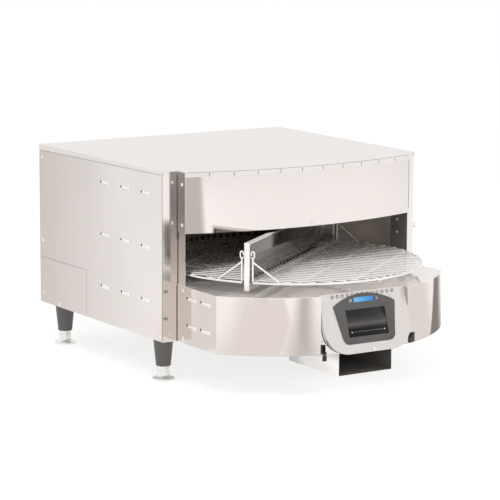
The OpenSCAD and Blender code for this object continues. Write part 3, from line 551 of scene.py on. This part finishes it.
def look(name):
    """The finish of one material slot, made when it is first asked for."""
    if name in MADE:
        return MADE[name]
    c = {key: tuple(getattr(colours(), key)) for key in OvenColours.__annotations__}
    makers = {
        # stainless paints its sloping faces, such as the louvre tabs and top edges, 1.38 times
        # brighter as a painted highlight
        "stainless": lambda: satin(name, c["steel"], 0.07, top=1.38),
        "cover_steel": lambda: satin(name, c["cover"], 0.34, (1, 30, 1)),
        "inner_steel": lambda: satin(name, c["plate"], 0.32),
        "chamber_steel": lambda: burnt(name, c["chamber"], 0.42),
        "duct_metal": lambda: satin(name, c["duct"], 0.3, (30, 1, 1)),
        "wire_plating": lambda: plated(name, c["wire"], 0.24, 0.82),
        "ear_plating": lambda: plated(name, c["wire"], 0.3, 0.35),
        "polished_steel": lambda: wavy_mirror(name, c["mirror"], 0.09, 0.0012, 9, (1, 1, 0.5)),
        "pillar_steel": lambda: satin(name, shade(c["steel"], 1.04), 0.14, (1, 1, 30), 0.001, 8),
        # The right jamb's steel, painted at 0.4 of the cabinet steel as painted shade
        "hazed_steel": lambda: plated(name, shade(c["steel"], 0.4), 0.42, 0.5),
        "machined_steel": lambda: plated(name, c["machined"], 0.3),
        "insulation_wool": lambda: wool(name, c["wool"]),
        "motor_paint": lambda: moulded(name, c["motor"], 0.4),
        "wheel_metal": lambda: plated(name, c["machined"], 0.35),
        "heater_sheath": lambda: burnt(name, c["copper"], 0.5),
        "electrics": lambda: moulded(name, c["casing"], 0.5),
        "black_plastic": lambda: moulded(name, c["black"], 0.42),
        "rocker_plastic": lambda: moulded(name, c["black"], 0.4, 500, 0.00001),
        "housing_paint": lambda: satin(name, c["paint"], 0.32, (1, 1, 1), 0.0006, 7, metal=0.45),
        "bezel_plastic": lambda: moulded(name, c["bezel"], 0.45, 1300, 0.00003),
        "screen_black": lambda: painted_reflection_screen(name, c["glass"], c["band"]),
        "display_blue": lambda: lit_display(name, c["blue"], c["sky"]),
        "screen_marks": lambda: drawn(name, c["marks"]),
        "board_green": lambda: moulded(name, c["board"], 0.35, 600),
        "leg_grey": lambda: moulded(name, c["leg"], 0.5, 800, 0.00005),
        "foot_metal": lambda: plated(name, c["foot"], 0.22, 0.8),
        "deck_mirror": lambda: wavy_mirror(
            name, shade(c["steel"], 1.12), 0.06, 0.0028, 9, metal=0.42),
        "divider_steel": lambda: wavy_mirror(name, c["divider"], 0.12, 0.0006, 8),
        "duct_lining": lambda: moulded(name, c["lining"], 0.38),
        # Painted shade: the dark rings round the vent plugs
        "vent_rubber": lambda: moulded(name, c["bezel"], 0.6),
        # Painted shade in the seams, a little darker than the shade painted inside the duct
        "seam_seal": lambda: moulded(name, shade(c["lining"], 0.78), 0.7, 300, 0.0001),
        "screw_steel": lambda: plated(name, c["wire"], 0.25, 0.75),
    }
    MADE[name] = makers[name]()
    return MADE[name]


# Pieces


class OvenPiece:
    """What the piece operators share."""

    bl_options = {"REGISTER", "UNDO"}

    def execute(self, context):
        self.make(sizes())
        return {"FINISHED"}


class OVEN_OT_cabinet(OvenPiece, bpy.types.Operator):
    """Give the cabinet's sheets their finish"""

    bl_idname = "oven.cabinet"
    bl_label = "Cabinet Sheets"

    def make(self, s):
        painted("stainless", "left_side_panel", "right_side_panel", "rear_panel", "access_cover")
        painted("pillar_steel", "left_pillar", "right_pillar")
        painted("cover_steel", "top_cover")
        painted("inner_steel", "base_pan")


class OVEN_OT_hood(OvenPiece, bpy.types.Operator):
    """Give the fascia, its soffit and the jambs their finish"""

    bl_idname = "oven.hood"
    bl_label = "Fascia and Jambs"

    def make(self, s):
        painted("stainless", "fascia", "left_jamb")
        # The right jamb gets a darker copy of the cabinet steel: painted shade
        painted("hazed_steel", "right_jamb")
        painted("inner_steel", "soffit_panel")


class OVEN_OT_seams(OvenPiece, bpy.types.Operator):
    """Make the dark lines of painted shade in the gaps beside the pillars and on the cover's front
    edge
    """

    bl_idname = "oven.seams"
    bl_label = "Seams"

    def make(self, s):
        lines = [block("bead", (-379.25, 0.5, 2), (-378.5, 2.0, 415), edge=0.2)]
        beside_pillar = ((339.2, 338, 1, 141), (336.7, 335.4, 142, 251), (338.4, 337.1, 252, 415))
        for out, near, low, high in beside_pillar:
            lines.append(block("bead", (-out, -1.2, low), (-near, -0.02, high), edge=0.3))
        left = put(joined("seam_lines", lines), CABINET)
        right = twin(left, "right_seam_lines", Matrix.Diagonal((-1, 1, 1, 1)))
        cover = put(joined("cover_lines", self.cover_lines()), CABINET)
        for obj in (left, right, cover):
            settled(obj, "oven", "black_plastic", shown="seam_seal")

    def cover_lines(self):
        """Lines of painted shade: the line at the hood's right end, the fold over the front tabs,
        and the tabs' slits.
        """
        reach, centre_y, fold_z, half = 1044.7, 951.3, 422.6, math.radians(18.6)
        slits, pitch = 10, 62
        lines = [block("bead", (337, -36.5, 282), (337.6, -35.9, 410), edge=0.1)]
        start = (-reach * math.sin(half), centre_y - reach * math.cos(half), fold_z)
        lines.append(bent("bead", (0, centre_y, fold_z), (0, 0, 1), start, 2 * half, 0.75, 48, 8))
        slit = block("slit", (-0.75, 0.3 - reach, 411.2), (0.75, 1.35 - reach, 420.7), edge=0.1)
        for k in range(-slits // 2, slits // 2):
            turn = Matrix.Rotation(math.asin((k + 0.5) * pitch / reach), 4, "Z")
            lines.append(twin(slit, "bead", Matrix.Translation(spot(0, centre_y, 0)) @ turn))
        bpy.data.objects.remove(slit)
        return lines


class OVEN_OT_chamber(OvenPiece, bpy.types.Operator):
    """Give the chamber, its air ways and the electrics their finish"""

    bl_idname = "oven.chamber"
    bl_label = "Chamber and Inner Works"

    def make(self, s):
        painted("chamber_steel", "chamber_wall", "upper_jet_plate", "lower_jet_plate")
        painted("inner_steel", "upper_plenum", "lower_plenum", "blower_box", "motor_bulkhead")
        painted("inner_steel", "gearmotor_stand")
        painted("insulation_wool", "insulation")
        painted("motor_paint", "blower_motors", "drive_gearmotor")
        painted("wheel_metal", "left_blower_wheel", "right_blower_wheel")
        painted("heater_sheath", "heaters")
        painted("electrics", "power_supply", "contactors", "terminal_block")
        painted("black_plastic", "fan_frame", "fan_rotor")
        painted("board_green", "control_board")
        painted("machined_steel", "table_bearing", "table_hub", "table_spider")


class OVEN_OT_bay(OvenPiece, bpy.types.Operator):
    """Give the front bay's skin, deck and floor their finish"""

    bl_idname = "oven.bay"
    bl_label = "Front Bay"

    def make(self, s):
        painted("stainless", "bay_skin")
        painted("deck_mirror", "bay_deck")
        painted("inner_steel", "bay_floor")


class OVEN_OT_duct(OvenPiece, bpy.types.Operator):
    """Make the intake duct, with shade painted dark on its inside faces"""

    bl_idname = "oven.duct"
    bl_label = "Intake Duct"

    def make(self, s):
        half, foot, roof, front, back = 78.2, -57.2, -0.8, -325.6, -110.8
        duct = dressed("intake_duct", "duct_sheet", s.sheet_edge, "oven", "duct_metal")
        duct.data.materials.append(look("duct_lining"))
        # The faces inside the duct get the dark painted shade
        for face in duct.data.polygons:
            at = CABINET.inverted() @ face.center / MM
            inside = abs(at.x) < half and foot < at.z < roof and front < at.y < back
            face.material_index = int(inside)


def wire(s):
    """One grate wire along -Y from the divider, with its end bent down over the rim."""
    start, reach, rise = 4, 100.0, 4.3
    bpy.ops.object.select_all(action="DESELECT")
    bpy.ops.mesh.primitive_circle_add(
        vertices=8, radius=s.wire_d / 2, fill_type="NGON", location=spot(0, -start, rise),
        rotation=(math.pi / 2, 0, 0))
    obj = added("wire")
    put(obj, obj.matrix_world.copy())
    with editing(obj):
        bpy.ops.mesh.select_all(action="SELECT")
        straight = spot(0, start - reach, 0)
        bpy.ops.mesh.extrude_region_move(TRANSFORM_OT_translate={"value": straight})
        bpy.ops.mesh.spin(steps=5, angle=-s.wire_bend, center=spot(0, -reach, 0), axis=(1, 0, 0))
    outward(obj)
    return obj, reach


def grate(s, name):
    """Half a round grate: a rim rod, cross rods and wires, on the -Y side of the divider."""
    rim, d, pitch = s.rim_r / MM, s.rod_d / MM, s.wire_pitch / MM
    level, gap = 170, 16
    first = math.asin(gap / rim)
    start = Vector((-rim * math.cos(first), -gap, level))
    parts = [bent("rim", (0, 0, level), (0, 0, 1), start, math.pi - 2 * first, d, 72, 12)]
    for v in (gap, 0.36 * rim, 0.7 * rim):
        u = math.sqrt(rim * rim - v * v)
        parts.append(rod("cross", (-u, -v, level), (u, -v, level), d))
    model, reach = wire(s)
    count = int(rim / pitch)
    for k in range(-count, count):
        u = (k + 0.5) * pitch
        copy = twin(model, "wire", Matrix.Translation(spot(u, 0, level)))
        with editing(copy, "VERT"):
            pick(copy, lambda vert: vert.co.y < -reach / 2 * MM)
            bpy.ops.transform.translate(value=spot(0, reach - math.sqrt(rim * rim - u * u), 0))
        parts.append(copy)
    bpy.data.objects.remove(model)
    return put(joined(name, parts), TABLE)


class OVEN_OT_grates(OvenPiece, bpy.types.Operator):
    """Make the two wire grates"""

    bl_idname = "oven.grates"
    bl_label = "Wire Grates"

    def make(self, s):
        front = grate(s, "front_wires")
        half_turn = CABINET @ Matrix.Rotation(math.pi, 4, "Z") @ CABINET.inverted()
        rear = twin(front, "rear_wires", half_turn)
        settled(front, "turntable", "wire_plating", "front_grate")
        settled(rear, "turntable", "wire_plating", "rear_grate")


class OVEN_OT_ears(OvenPiece, bpy.types.Operator):
    """Make the bent wire ears at the ends of the grates"""

    bl_idname = "oven.ears"
    bl_label = "Grate Ears"

    def make(self, s):
        d = s.ear_d / MM
        eye_d = d * 0.8
        u, v, low, high, r = 326.6, -14, 233, 242, 3.8
        foot, knee, toe = (316, -76), 175, 170
        across, along_wire = (1, 0, 0), (0, 1, 0)
        parts = [
            rod("upright", (u, v, 173), (u, v, low - r), d),
            rod("strut", (*foot, knee), (u, v - 1, 219.5), d),
            bent("eye_foot", (u, v, low), across, (u, v - r, low), math.pi, eye_d, 12),
            rod("eye_side", (u, v - r, low), (u, v - r, high), eye_d),
            bent("eye_top", (u, v, high), across, (u, v + r, high), math.pi, eye_d, 12),
            rod("eye_end", (u, v + r, high), (u, v + r, low + 3.4), eye_d),
            bent("toe", (*foot, toe), along_wire, (*foot, knee), math.radians(100), d, 8),
        ]
        ear = joined("ear", parts)
        corners = [Matrix.Diagonal((i, j, 1, 1)) for i in (-1, 1) for j in (-1, 1)]
        ears = joined("ear_wires", [twin(ear, "ear", TABLE @ corner) for corner in corners])
        bpy.data.objects.remove(ear)
        settled(ears, "turntable", "wire_plating", "grate_ears", shown="ear_plating")


class OVEN_OT_divider(OvenPiece, bpy.types.Operator):
    """Make the divider's sheet, rail and riveted posts"""

    bl_idname = "oven.divider"
    bl_label = "Divider"

    def make(self, s):
        reach, post_reach, rivet_reach, half = 325.5, 331.4, 331.0, 6.5
        foot, sheet_foot, rail_z, top = 149.5, 166.9, 262, 267
        sheet = block("divider_sheet", (-reach, -1, sheet_foot), (reach, 1, rail_z), TABLE, 0.3)
        rail = block("divider_rail", (-reach, -half, rail_z), (reach, half, top), TABLE, 1.2, 3)
        settled(rail, "turntable", "polished_steel")
        settled(sheet, "turntable", "polished_steel", "divider_panel", shown="divider_steel")
        parts = []
        r = s.rivet_d / 2 / MM
        dome = turned(
            "rivet", [(r, 0), (r, 0.3), (r * 0.8, 0.9), (r * 0.4, 1.25), (0.2, 1.3)], sides=16)
        for side in (-1, 1):
            low, high = sorted((side * reach, side * post_reach))
            parts.append(block("post", (low, -half, foot), (high, half, top), TABLE, 0.7, 3))
            turn = Matrix.Rotation(side * math.pi / 2, 4, "Y")
            for z in (156, 207, 258.5):
                seat = Matrix.Translation(spot(side * rivet_reach, 0, z)) @ turn
                parts.append(twin(dome, "rivet", TABLE @ seat))
        bpy.data.objects.remove(dome)
        settled(joined("divider_bars", parts), "turntable", "wire_plating", "divider_posts")


class OVEN_OT_controls(OvenPiece, bpy.types.Operator):
    """Make the control housing, its vent plugs and the bezel"""

    bl_idname = "oven.controls"
    bl_label = "Control Housing"

    def make(self, s):
        housing = sheet_copy("control_housing", "housing_shell", s.housing_edge, 3)
        # Draws the left side in, and leaves the right side where it is
        drawn_in = Matrix.LocRotScale(spot(0.57, 0, 0), None, (0.9955, 1, 1))
        put(housing, FACE @ drawn_in @ FACE.inverted())
        settled(housing, "oven", "housing_paint", "control_housing")
        # The dark rings round the pale plugs are painted shade, standing for the shadow in the vent
        # holes
        r = s.vent_rim / 2 / MM
        ring = turned("ring", [
            (r - 1.6, -0.5), (r - 1.5, 0.2), (r - 1.1, 0.55), (r - 0.5, 0.6), (r - 0.1, 0.4),
            (r, 0), (r, -0.4)
        ], sides=20)
        plug = turned("plug", [
            (r - 1.6, -0.4), (r - 1.65, 0.5), (r - 1.9, 0.9), (r - 2.6, 1.15), (0.3, 1.2)
        ], sides=16)
        middle, drop = (s.vents - 1) / 2, -7 * MM
        seats = [
            FACE @ Matrix.Translation(((k - middle) * s.vent_pitch, drop, 0))
            for k in range(s.vents)
        ]
        kinds = ((ring, "vent_rings", "vent_rubber"), (plug, "vent_plugs", "housing_paint"))
        for model, name, finish in kinds:
            row = [twin(model, "vent", seat) for seat in seats]
            bpy.data.objects.remove(model)
            settled(joined(name, row), "oven", "housing_paint", shown=finish)
        dressed("control_bezel", "bezel_plate", 0.0007, "oven", "bezel_plastic", 3)


class OVEN_OT_screens(OvenPiece, bpy.types.Operator):
    """Make the touch screen, the status display and their drawn marks"""

    bl_idname = "oven.screens"
    bl_label = "Screens"

    def make(self, s):
        dressed("touch_screen", "screen_glass", 0.0005, "oven", "screen_black")
        dressed("status_display", "display_glass", 0.00025, "oven", "display_blue")
        lift, top, thick, line_y = 0.42, 1.22, 0.06, -97.3
        marks = [block("line", (-44, line_y - 0.1, lift), (44, line_y + 0.1, lift + thick), FACE)]
        for side in (-1, 1):
            arrow = turned("arrow", [(2.4, 0), (2.4, thick)], sides=3)
            turn = Matrix.Rotation(-side * math.pi / 2, 4, "Z")
            seat = Matrix.Translation(spot(side * 48, line_y, lift)) @ turn
            marks.append(put(arrow, FACE @ seat))
        for k in range(3):
            x, y = -42 + 2.6 * k, -23 + 2.4 * k
            marks.append(block("bar", (x, -24, top), (x + 1, -18 + k, top + thick), FACE))
            marks.append(block("bar", (37, y, top), (42 - k, y + 1, top + thick), FACE))
        settled(joined("screen_marks", marks), "oven", "screen_black", shown="screen_marks")


def aimed(at, way):
    """A place in the cabinet whose Z points along a direction."""
    turn = Vector(way).to_track_quat("Z", "Y").to_matrix().to_4x4()
    return CABINET @ Matrix.Translation(spot(*at)) @ turn


class OVEN_OT_port(OvenPiece, bpy.types.Operator):
    """Make the data port, its hanging cap and the rivet over it"""

    bl_idname = "oven.port"
    bl_label = "Data Port"

    def make(self, s):
        dressed("usb_port", "port_body", 0.0005, "oven", "black_plastic")
        dressed("usb_cap", "port_cover", 0.0005, "port_cap", "black_plastic")
        bow_y, bow_r, rivet_z, bearing = 97.76, 438.7, 32.5, math.radians(-16.6)
        out = Vector((math.sin(bearing), -math.cos(bearing), 0))
        place = aimed(Vector((0, bow_y, rivet_z)) + out * bow_r, out)
        profile = [(2.6, 0), (2.6, 0.3), (2.2, 0.8), (1.3, 1.2), (0.2, 1.3)]
        settled(turned("port_rivet", profile, place, 20), "oven", "machined_steel")


class OVEN_OT_switch(OvenPiece, bpy.types.Operator):
    """Make the power switch's frame and rocker"""

    bl_idname = "oven.switch"
    bl_label = "Power Switch"

    def make(self, s):
        dressed("switch_frame", "switch_bezel", 0.0006, "oven", "black_plastic")
        dressed("power_rocker", "rocker_key", 0.0005, "rocker", "rocker_plastic")


LEG_SPOTS = {
    "front_left_foot": (-337, 68), "front_right_foot": (337, 68),
    "rear_left_foot": (-337, 582), "rear_right_foot": (337, 582),
}


class OVEN_OT_legs(OvenPiece, bpy.types.Operator):
    """Make the leg sleeves and the adjustable feet"""

    bl_idname = "oven.legs"
    bl_label = "Legs and Feet"

    def make(self, s):
        sleeve = turned("sleeve", [
            (29.3, -0.05), (29.5, -0.3), (29.5, -2.2), (28.8, -3), (26.3, -3.3), (25.4, -4.5),
            (18.9, -70.5), (18.6, -72.6), (17.8, -73.8), (16.6, -74), (15.8, -73.6), (15.7, -60)
        ], sides=48)
        foot = turned("foot", [
            (28, -109), (28.8, -108.6), (29, -107.8), (29, -105), (28.6, -104.2), (27.4, -103.8),
            (20.5, -101.4), (17, -99.6), (15.7, -97.6), (15.4, -95), (15.4, -78), (15.0, -77.2),
            (15.0, -76), (15.4, -75.2), (15.4, -13), (14.6, -12)
        ], sides=48)
        sleeves = []
        for body, (x, y) in LEG_SPOTS.items():
            place = CABINET @ Matrix.Translation(spot(x, y, 0))
            sleeves.append(twin(sleeve, "sleeve", place))
            settled(twin(foot, body + "_dish", place), body, "foot_metal", body)
        for model in (sleeve, foot):
            bpy.data.objects.remove(model)
        settled(joined("leg_cones", sleeves), "oven", "leg_grey", "leg_sleeves")


SIDE_X = 379


def screw_places():
    """Where the panel screws sit, with Z out of their sheet."""
    rear_y = 640
    sides = [(12.9, 13.8), (10.6, 400), (624, 167), (624, 390)]
    access_cover = [(534, 8), (620, 25)]
    places = [aimed((-SIDE_X, y, z), (-1, 0, 0)) for y, z in sides + access_cover]
    places += [aimed((SIDE_X, y, z), (1, 0, 0)) for y, z in sides]
    for x in (-365, -126.33, 126.33, 365):
        places += [aimed((x, rear_y, z), (0, 1, 0)) for z in (10, 396)]
    for side in (-1, 1):
        places += [aimed((side * 337.2, -22.5, z), (side, 0, 0)) for z in (292, 392)]
        places += [aimed((side * 334, 8, z), (-side, 0, 0)) for z in (215, 249)]
        places += [aimed((side * 338, -28, z), (side, 0, 0)) for z in (12, 132)]
    places.append(aimed((0, -92, 281), (0, -1, 0)))
    face_screw_z = 5.5
    down = (face_screw_z - FACE_TOP_Z) / math.cos(FACE_LEAN)
    places.append(FACE @ Matrix.Translation(spot(8, down, 0)))
    return places


class OVEN_OT_screws(OvenPiece, bpy.types.Operator):
    """Make the panel screws with cross recesses, and the side spacer"""

    bl_idname = "oven.screws"
    bl_label = "Screws and Spacer"

    def make(self, s):
        r = s.screw_d / 2 / MM
        head = turned("screw", [
            (r * 0.5, -5), (r * 0.5, 0), (r, 0.02), (r, 0.6), (r * 0.93, 1.2), (r * 0.76, 1.7),
            (r * 0.5, 1.95), (0.3, 2.02)
        ], sides=24)
        arm, half, floor, top = r * 0.5, 0.45, 0.9, 3
        cutter = joined("cutter", [
            block("slot", (-half, -arm, floor), (half, arm, top)),
            block("slot", (-arm, -half, floor), (arm, half, top))])
        modified(
            head, "BOOLEAN", object=cutter, operation="DIFFERENCE", solver="EXACT", use_self=True)
        bpy.data.objects.remove(cutter)
        screws = [twin(head, "screw", place) for place in screw_places()]
        bpy.data.objects.remove(head)
        heads = joined("screw_heads", screws)
        settled(heads, "oven", "machined_steel", "panel_screws", shown="screw_steel")
        spacer = turned("spacer", [
            (2, -5), (2, 0), (6.6, 0.1), (7, 0.6), (7, 8), (6.3, 8.6), (6.3, 9.4), (7, 10),
            (7, 11.2), (6.2, 11.9), (2.4, 12), (2.2, 10.6)
        ], aimed((SIDE_X, 10.6, 228.6), (1, 0, 0)))
        settled(spacer, "oven", "machined_steel", "side_spacer", shown="screw_steel")


class OVEN_OT_inlet(OvenPiece, bpy.types.Operator):
    """Give the cord's inlet rounded edges"""

    bl_idname = "oven.inlet"
    bl_label = "Cord Inlet"

    def make(self, s):
        dressed("cord_inlet", "inlet_gland", 0.001, "oven", "black_plastic", 3)


# Stage


def seen_rays(nodes, links):
    """One for rays that show the background: camera, glossy and transmission rays."""
    path = nodes.new("ShaderNodeLightPath")
    seen = path.outputs["Is Camera Ray"]
    for ray in ("Is Glossy Ray", "Is Transmission Ray"):
        most = nodes.new("ShaderNodeMath")
        most.operation = "MAXIMUM"
        links.new(seen, most.inputs[0])
        links.new(path.outputs[ray], most.inputs[1])
        seen = most.outputs[0]
    return seen


CARD_GREY = Vector((1, 0.96, 0.93))


def floor_card(name, start, end, width, bright, soft, lift=0.004):
    """A grey strip on the floor that only reflections see, with a soft edge on each side of its
    run. Places and sizes in metres; soft gives the fade on the left and on the right of the run,
    and lift the strip's height, so that one strip can lie over another."""
    start, end = Vector((*start, 0)), Vector((*end, 0))
    run = (end - start).normalized()
    side = Vector((run.y, -run.x, 0))
    bpy.ops.object.select_all(action="DESELECT")
    bpy.ops.mesh.primitive_plane_add(size=1)
    obj = added(name)
    turn = Matrix((side, run, Vector((0, 0, 1)))).transposed().to_4x4()
    middle = (start + end) / 2 + Vector((0, 0, lift))
    size = Matrix.Diagonal((width, (end - start).length, 1, 1))
    put(obj, Matrix.Translation(middle) @ turn @ size)
    f = Finish(name)
    f.nodes.remove(f.shader)
    glow = f.node("ShaderNodeEmission")
    glow.inputs["Color"].default_value = (*(CARD_GREY * bright), 1)
    clear = f.node("ShaderNodeBsdfTransparent")
    mix = f.node("ShaderNodeMixShader")
    off = f.node("ShaderNodeVectorMath", operation="DOT_PRODUCT")
    off.inputs[1].default_value = side
    f.links.new(f.place, off.inputs[0])
    centre, half = middle.dot(side), width / 2
    fade = f.node("ShaderNodeMath", operation="MULTIPLY")
    left = f.spread(off.outputs["Value"], 0, 1, centre - half, centre - half + soft[0])
    right = f.spread(off.outputs["Value"], 1, 0, centre + half - soft[1], centre + half)
    f.links.new(left, fade.inputs[0])
    f.links.new(right, fade.inputs[1])
    f.links.new(fade.outputs[0], mix.inputs["Fac"])
    f.links.new(clear.outputs[0], mix.inputs[1])
    f.links.new(glow.outputs[0], mix.inputs[2])
    f.links.new(mix.outputs[0], f.nodes["Material Output"].inputs["Surface"])
    obj.data.materials.append(f.material)
    for ray in ("camera", "diffuse", "transmission", "volume_scatter", "shadow"):
        setattr(obj, "visible_" + ray, False)


def soft_lamp(name, at, aim, size, watts):
    data = bpy.data.lights.new(name, "AREA")
    data.shape, data.size, data.energy = "DISK", size, watts
    obj = bpy.data.objects.new(name, data)
    bpy.context.scene.collection.objects.link(obj)
    obj.location = at
    obj.rotation_euler = (Vector(aim) - Vector(at)).to_track_quat("-Z", "Y").to_euler()
    obj.visible_glossy = False
    obj.visible_camera = False


class OVEN_OT_stage(bpy.types.Operator):
    """Set up the floor, the studio light and the camera"""

    bl_idname = "oven.stage"
    bl_label = "Stage"

    def execute(self, context):
        self.floor()
        self.light()
        self.camera(context.scene)
        context.scene.view_settings.view_transform = "Standard"
        return {"FINISHED"}

    def floor(self):
        bpy.ops.object.select_all(action="DESELECT")
        bpy.ops.mesh.primitive_circle_add(vertices=64, radius=60, fill_type="NGON")
        floor = added("studio_floor")
        f = Finish("studio_floor", 0.9)
        tone = tuple(colours().floor)
        f.tint(f.noise(3), shade(tone, 0.995), tone)
        pale = f.node("ShaderNodeBsdfPrincipled")
        settings = {
            "Base Color": (0.5, 0.5, 0.5, 1), "Roughness": 0.9, "Specular IOR Level": 0.0,
            "Emission Color": (1, 1, 1, 1), "Emission Strength": 0.64,
        }
        for socket, value in settings.items():
            pale.inputs[socket].default_value = value
        mix = f.node("ShaderNodeMixShader")
        f.links.new(seen_rays(f.nodes, f.links), mix.inputs["Fac"])
        f.links.new(f.shader.outputs[0], mix.inputs[1])
        f.links.new(pale.outputs[0], mix.inputs[2])
        f.links.new(mix.outputs[0], f.nodes["Material Output"].inputs["Surface"])
        floor.data.materials.append(f.material)

    def light(self):
        world = bpy.data.worlds.new("studio")
        bpy.context.scene.world = world
        world.use_nodes = True
        nodes, links = world.node_tree.nodes, world.node_tree.links
        nodes.clear()
        seen = seen_rays(nodes, links)
        soft = nodes.new("ShaderNodeBackground")
        soft.inputs["Strength"].default_value = 0.72
        shown = nodes.new("ShaderNodeBackground")
        shown.inputs["Strength"].default_value = 1.0
        mix = nodes.new("ShaderNodeMixShader")
        out = nodes.new("ShaderNodeOutputWorld")
        for node in (soft, shown):
            node.inputs["Color"].default_value = (1, 1, 1, 1)
        links.new(seen, mix.inputs["Fac"])
        links.new(soft.outputs[0], mix.inputs[1])
        links.new(shown.outputs[0], mix.inputs[2])
        links.new(mix.outputs[0], out.inputs["Surface"])
        soft_lamp("key", (-2.2, -1.6, 3.4), (0, 0, 0.2), 3.2, 44)
        soft_lamp("fill", (2.6, -2.4, 2.2), (0, 0, 0.3), 2.8, 22)
        soft_lamp("low", (-1.3, -3.4, 0.75), (0, 0.1, 0.35), 1.6, 15)
        floor_card("bay_strip", (-0.195, -0.5), (-0.435, -1.9), 0.38, 0.68, (0.16, 0.16))
        floor_card("bay_wide", (-0.47, -0.605), (-1.12, -1.385), 0.88, 0.97, (0.02, 0.25))
        floor_card("bay_right", (0.55, -0.45), (1.75, -0.66), 0.8, 0.94, (0.2, 0.2))
        floor_card("hood_strip", (-0.45, -2.0), (-0.605, -4.8), 0.35, 0.66, (0.03, 0.03))
        floor_card("jamb_strip", (-1.11, -1.43), (-1.52, -2.11), 0.3, 0.62, (0.05, 0.05))
        floor_card("corner_strip", (-1.52, -2.11), (-2.6, -3.9), 0.6, 0.15, (0.08, 0.08))
        floor_card("right_strip", (0.575, -0.105), (1.595, 0.29), 0.5, 0.28, (0.3, 0.01), 0.006)
        floor_card("wall_strip", (-0.6, 0.15), (-1.22, 1.11), 0.13, 0.92, (0.02, 0.02))
        floor_card("left_strip", (-0.26, 0.71), (-2.26, 4.45), 1.0, 0.6, (0.5, 0.3))

    def camera(self, scene):
        azimuth, elevation, roll = (math.radians(angle) for angle in (-32.72, 9.71, 0.25))
        at = (-3.3283, -4.9854, 1.2227)
        level = math.cos(elevation)
        back = Vector((
            math.sin(azimuth) * level, -math.cos(azimuth) * level, math.sin(elevation)))
        right = Vector((math.cos(azimuth), math.sin(azimuth), 0))
        up = back.cross(right)
        across = right * math.cos(roll) + up * math.sin(roll)
        data = bpy.data.cameras.new("photo_camera")
        data.sensor_width = 36
        data.lens = 173.24
        data.clip_end = 200
        obj = bpy.data.objects.new("photo_camera", data)
        scene.collection.objects.link(obj)
        turn = Matrix((across, back.cross(across), back)).transposed().to_4x4()
        obj.matrix_world = CABINET @ Matrix.Translation(at) @ turn
        scene.camera = obj


PIECES = (
    OVEN_OT_stage, OVEN_OT_cabinet, OVEN_OT_hood, OVEN_OT_seams, OVEN_OT_chamber, OVEN_OT_bay,
    OVEN_OT_duct, OVEN_OT_grates, OVEN_OT_ears, OVEN_OT_divider, OVEN_OT_controls,
    OVEN_OT_screens, OVEN_OT_port, OVEN_OT_switch, OVEN_OT_legs, OVEN_OT_screws, OVEN_OT_inlet,
)


class OVEN_PT_panel(bpy.types.Panel):
    """Lists the oven's pieces, sizes and colours"""

    bl_idname = "OVEN_PT_panel"
    bl_label = "Rotating Table Oven"
    bl_space_type = "VIEW_3D"
    bl_region_type = "UI"
    bl_category = "Oven"

    def draw(self, context):
        for piece in PIECES:
            self.layout.operator(piece.bl_idname)
        for group in (context.scene.oven_sizes, context.scene.oven_colours):
            column = self.layout.column()
            for key in group.__annotations__:
                column.prop(group, key)


CLASSES = (OvenSizes, OvenColours, *PIECES, OVEN_PT_panel)


def register():
    for item in CLASSES:
        bpy.utils.register_class(item)
    bpy.types.Scene.oven_sizes = PointerProperty(type=OvenSizes)
    bpy.types.Scene.oven_colours = PointerProperty(type=OvenColours)


def unregister():
    del bpy.types.Scene.oven_sizes
    del bpy.types.Scene.oven_colours
    for item in reversed(CLASSES):
        bpy.utils.unregister_class(item)


def main():
    register()
    for piece in PIECES:
        group, name = piece.bl_idname.split(".")
        getattr(getattr(bpy.ops, group), name)()


if __name__ == "__main__":
    main()
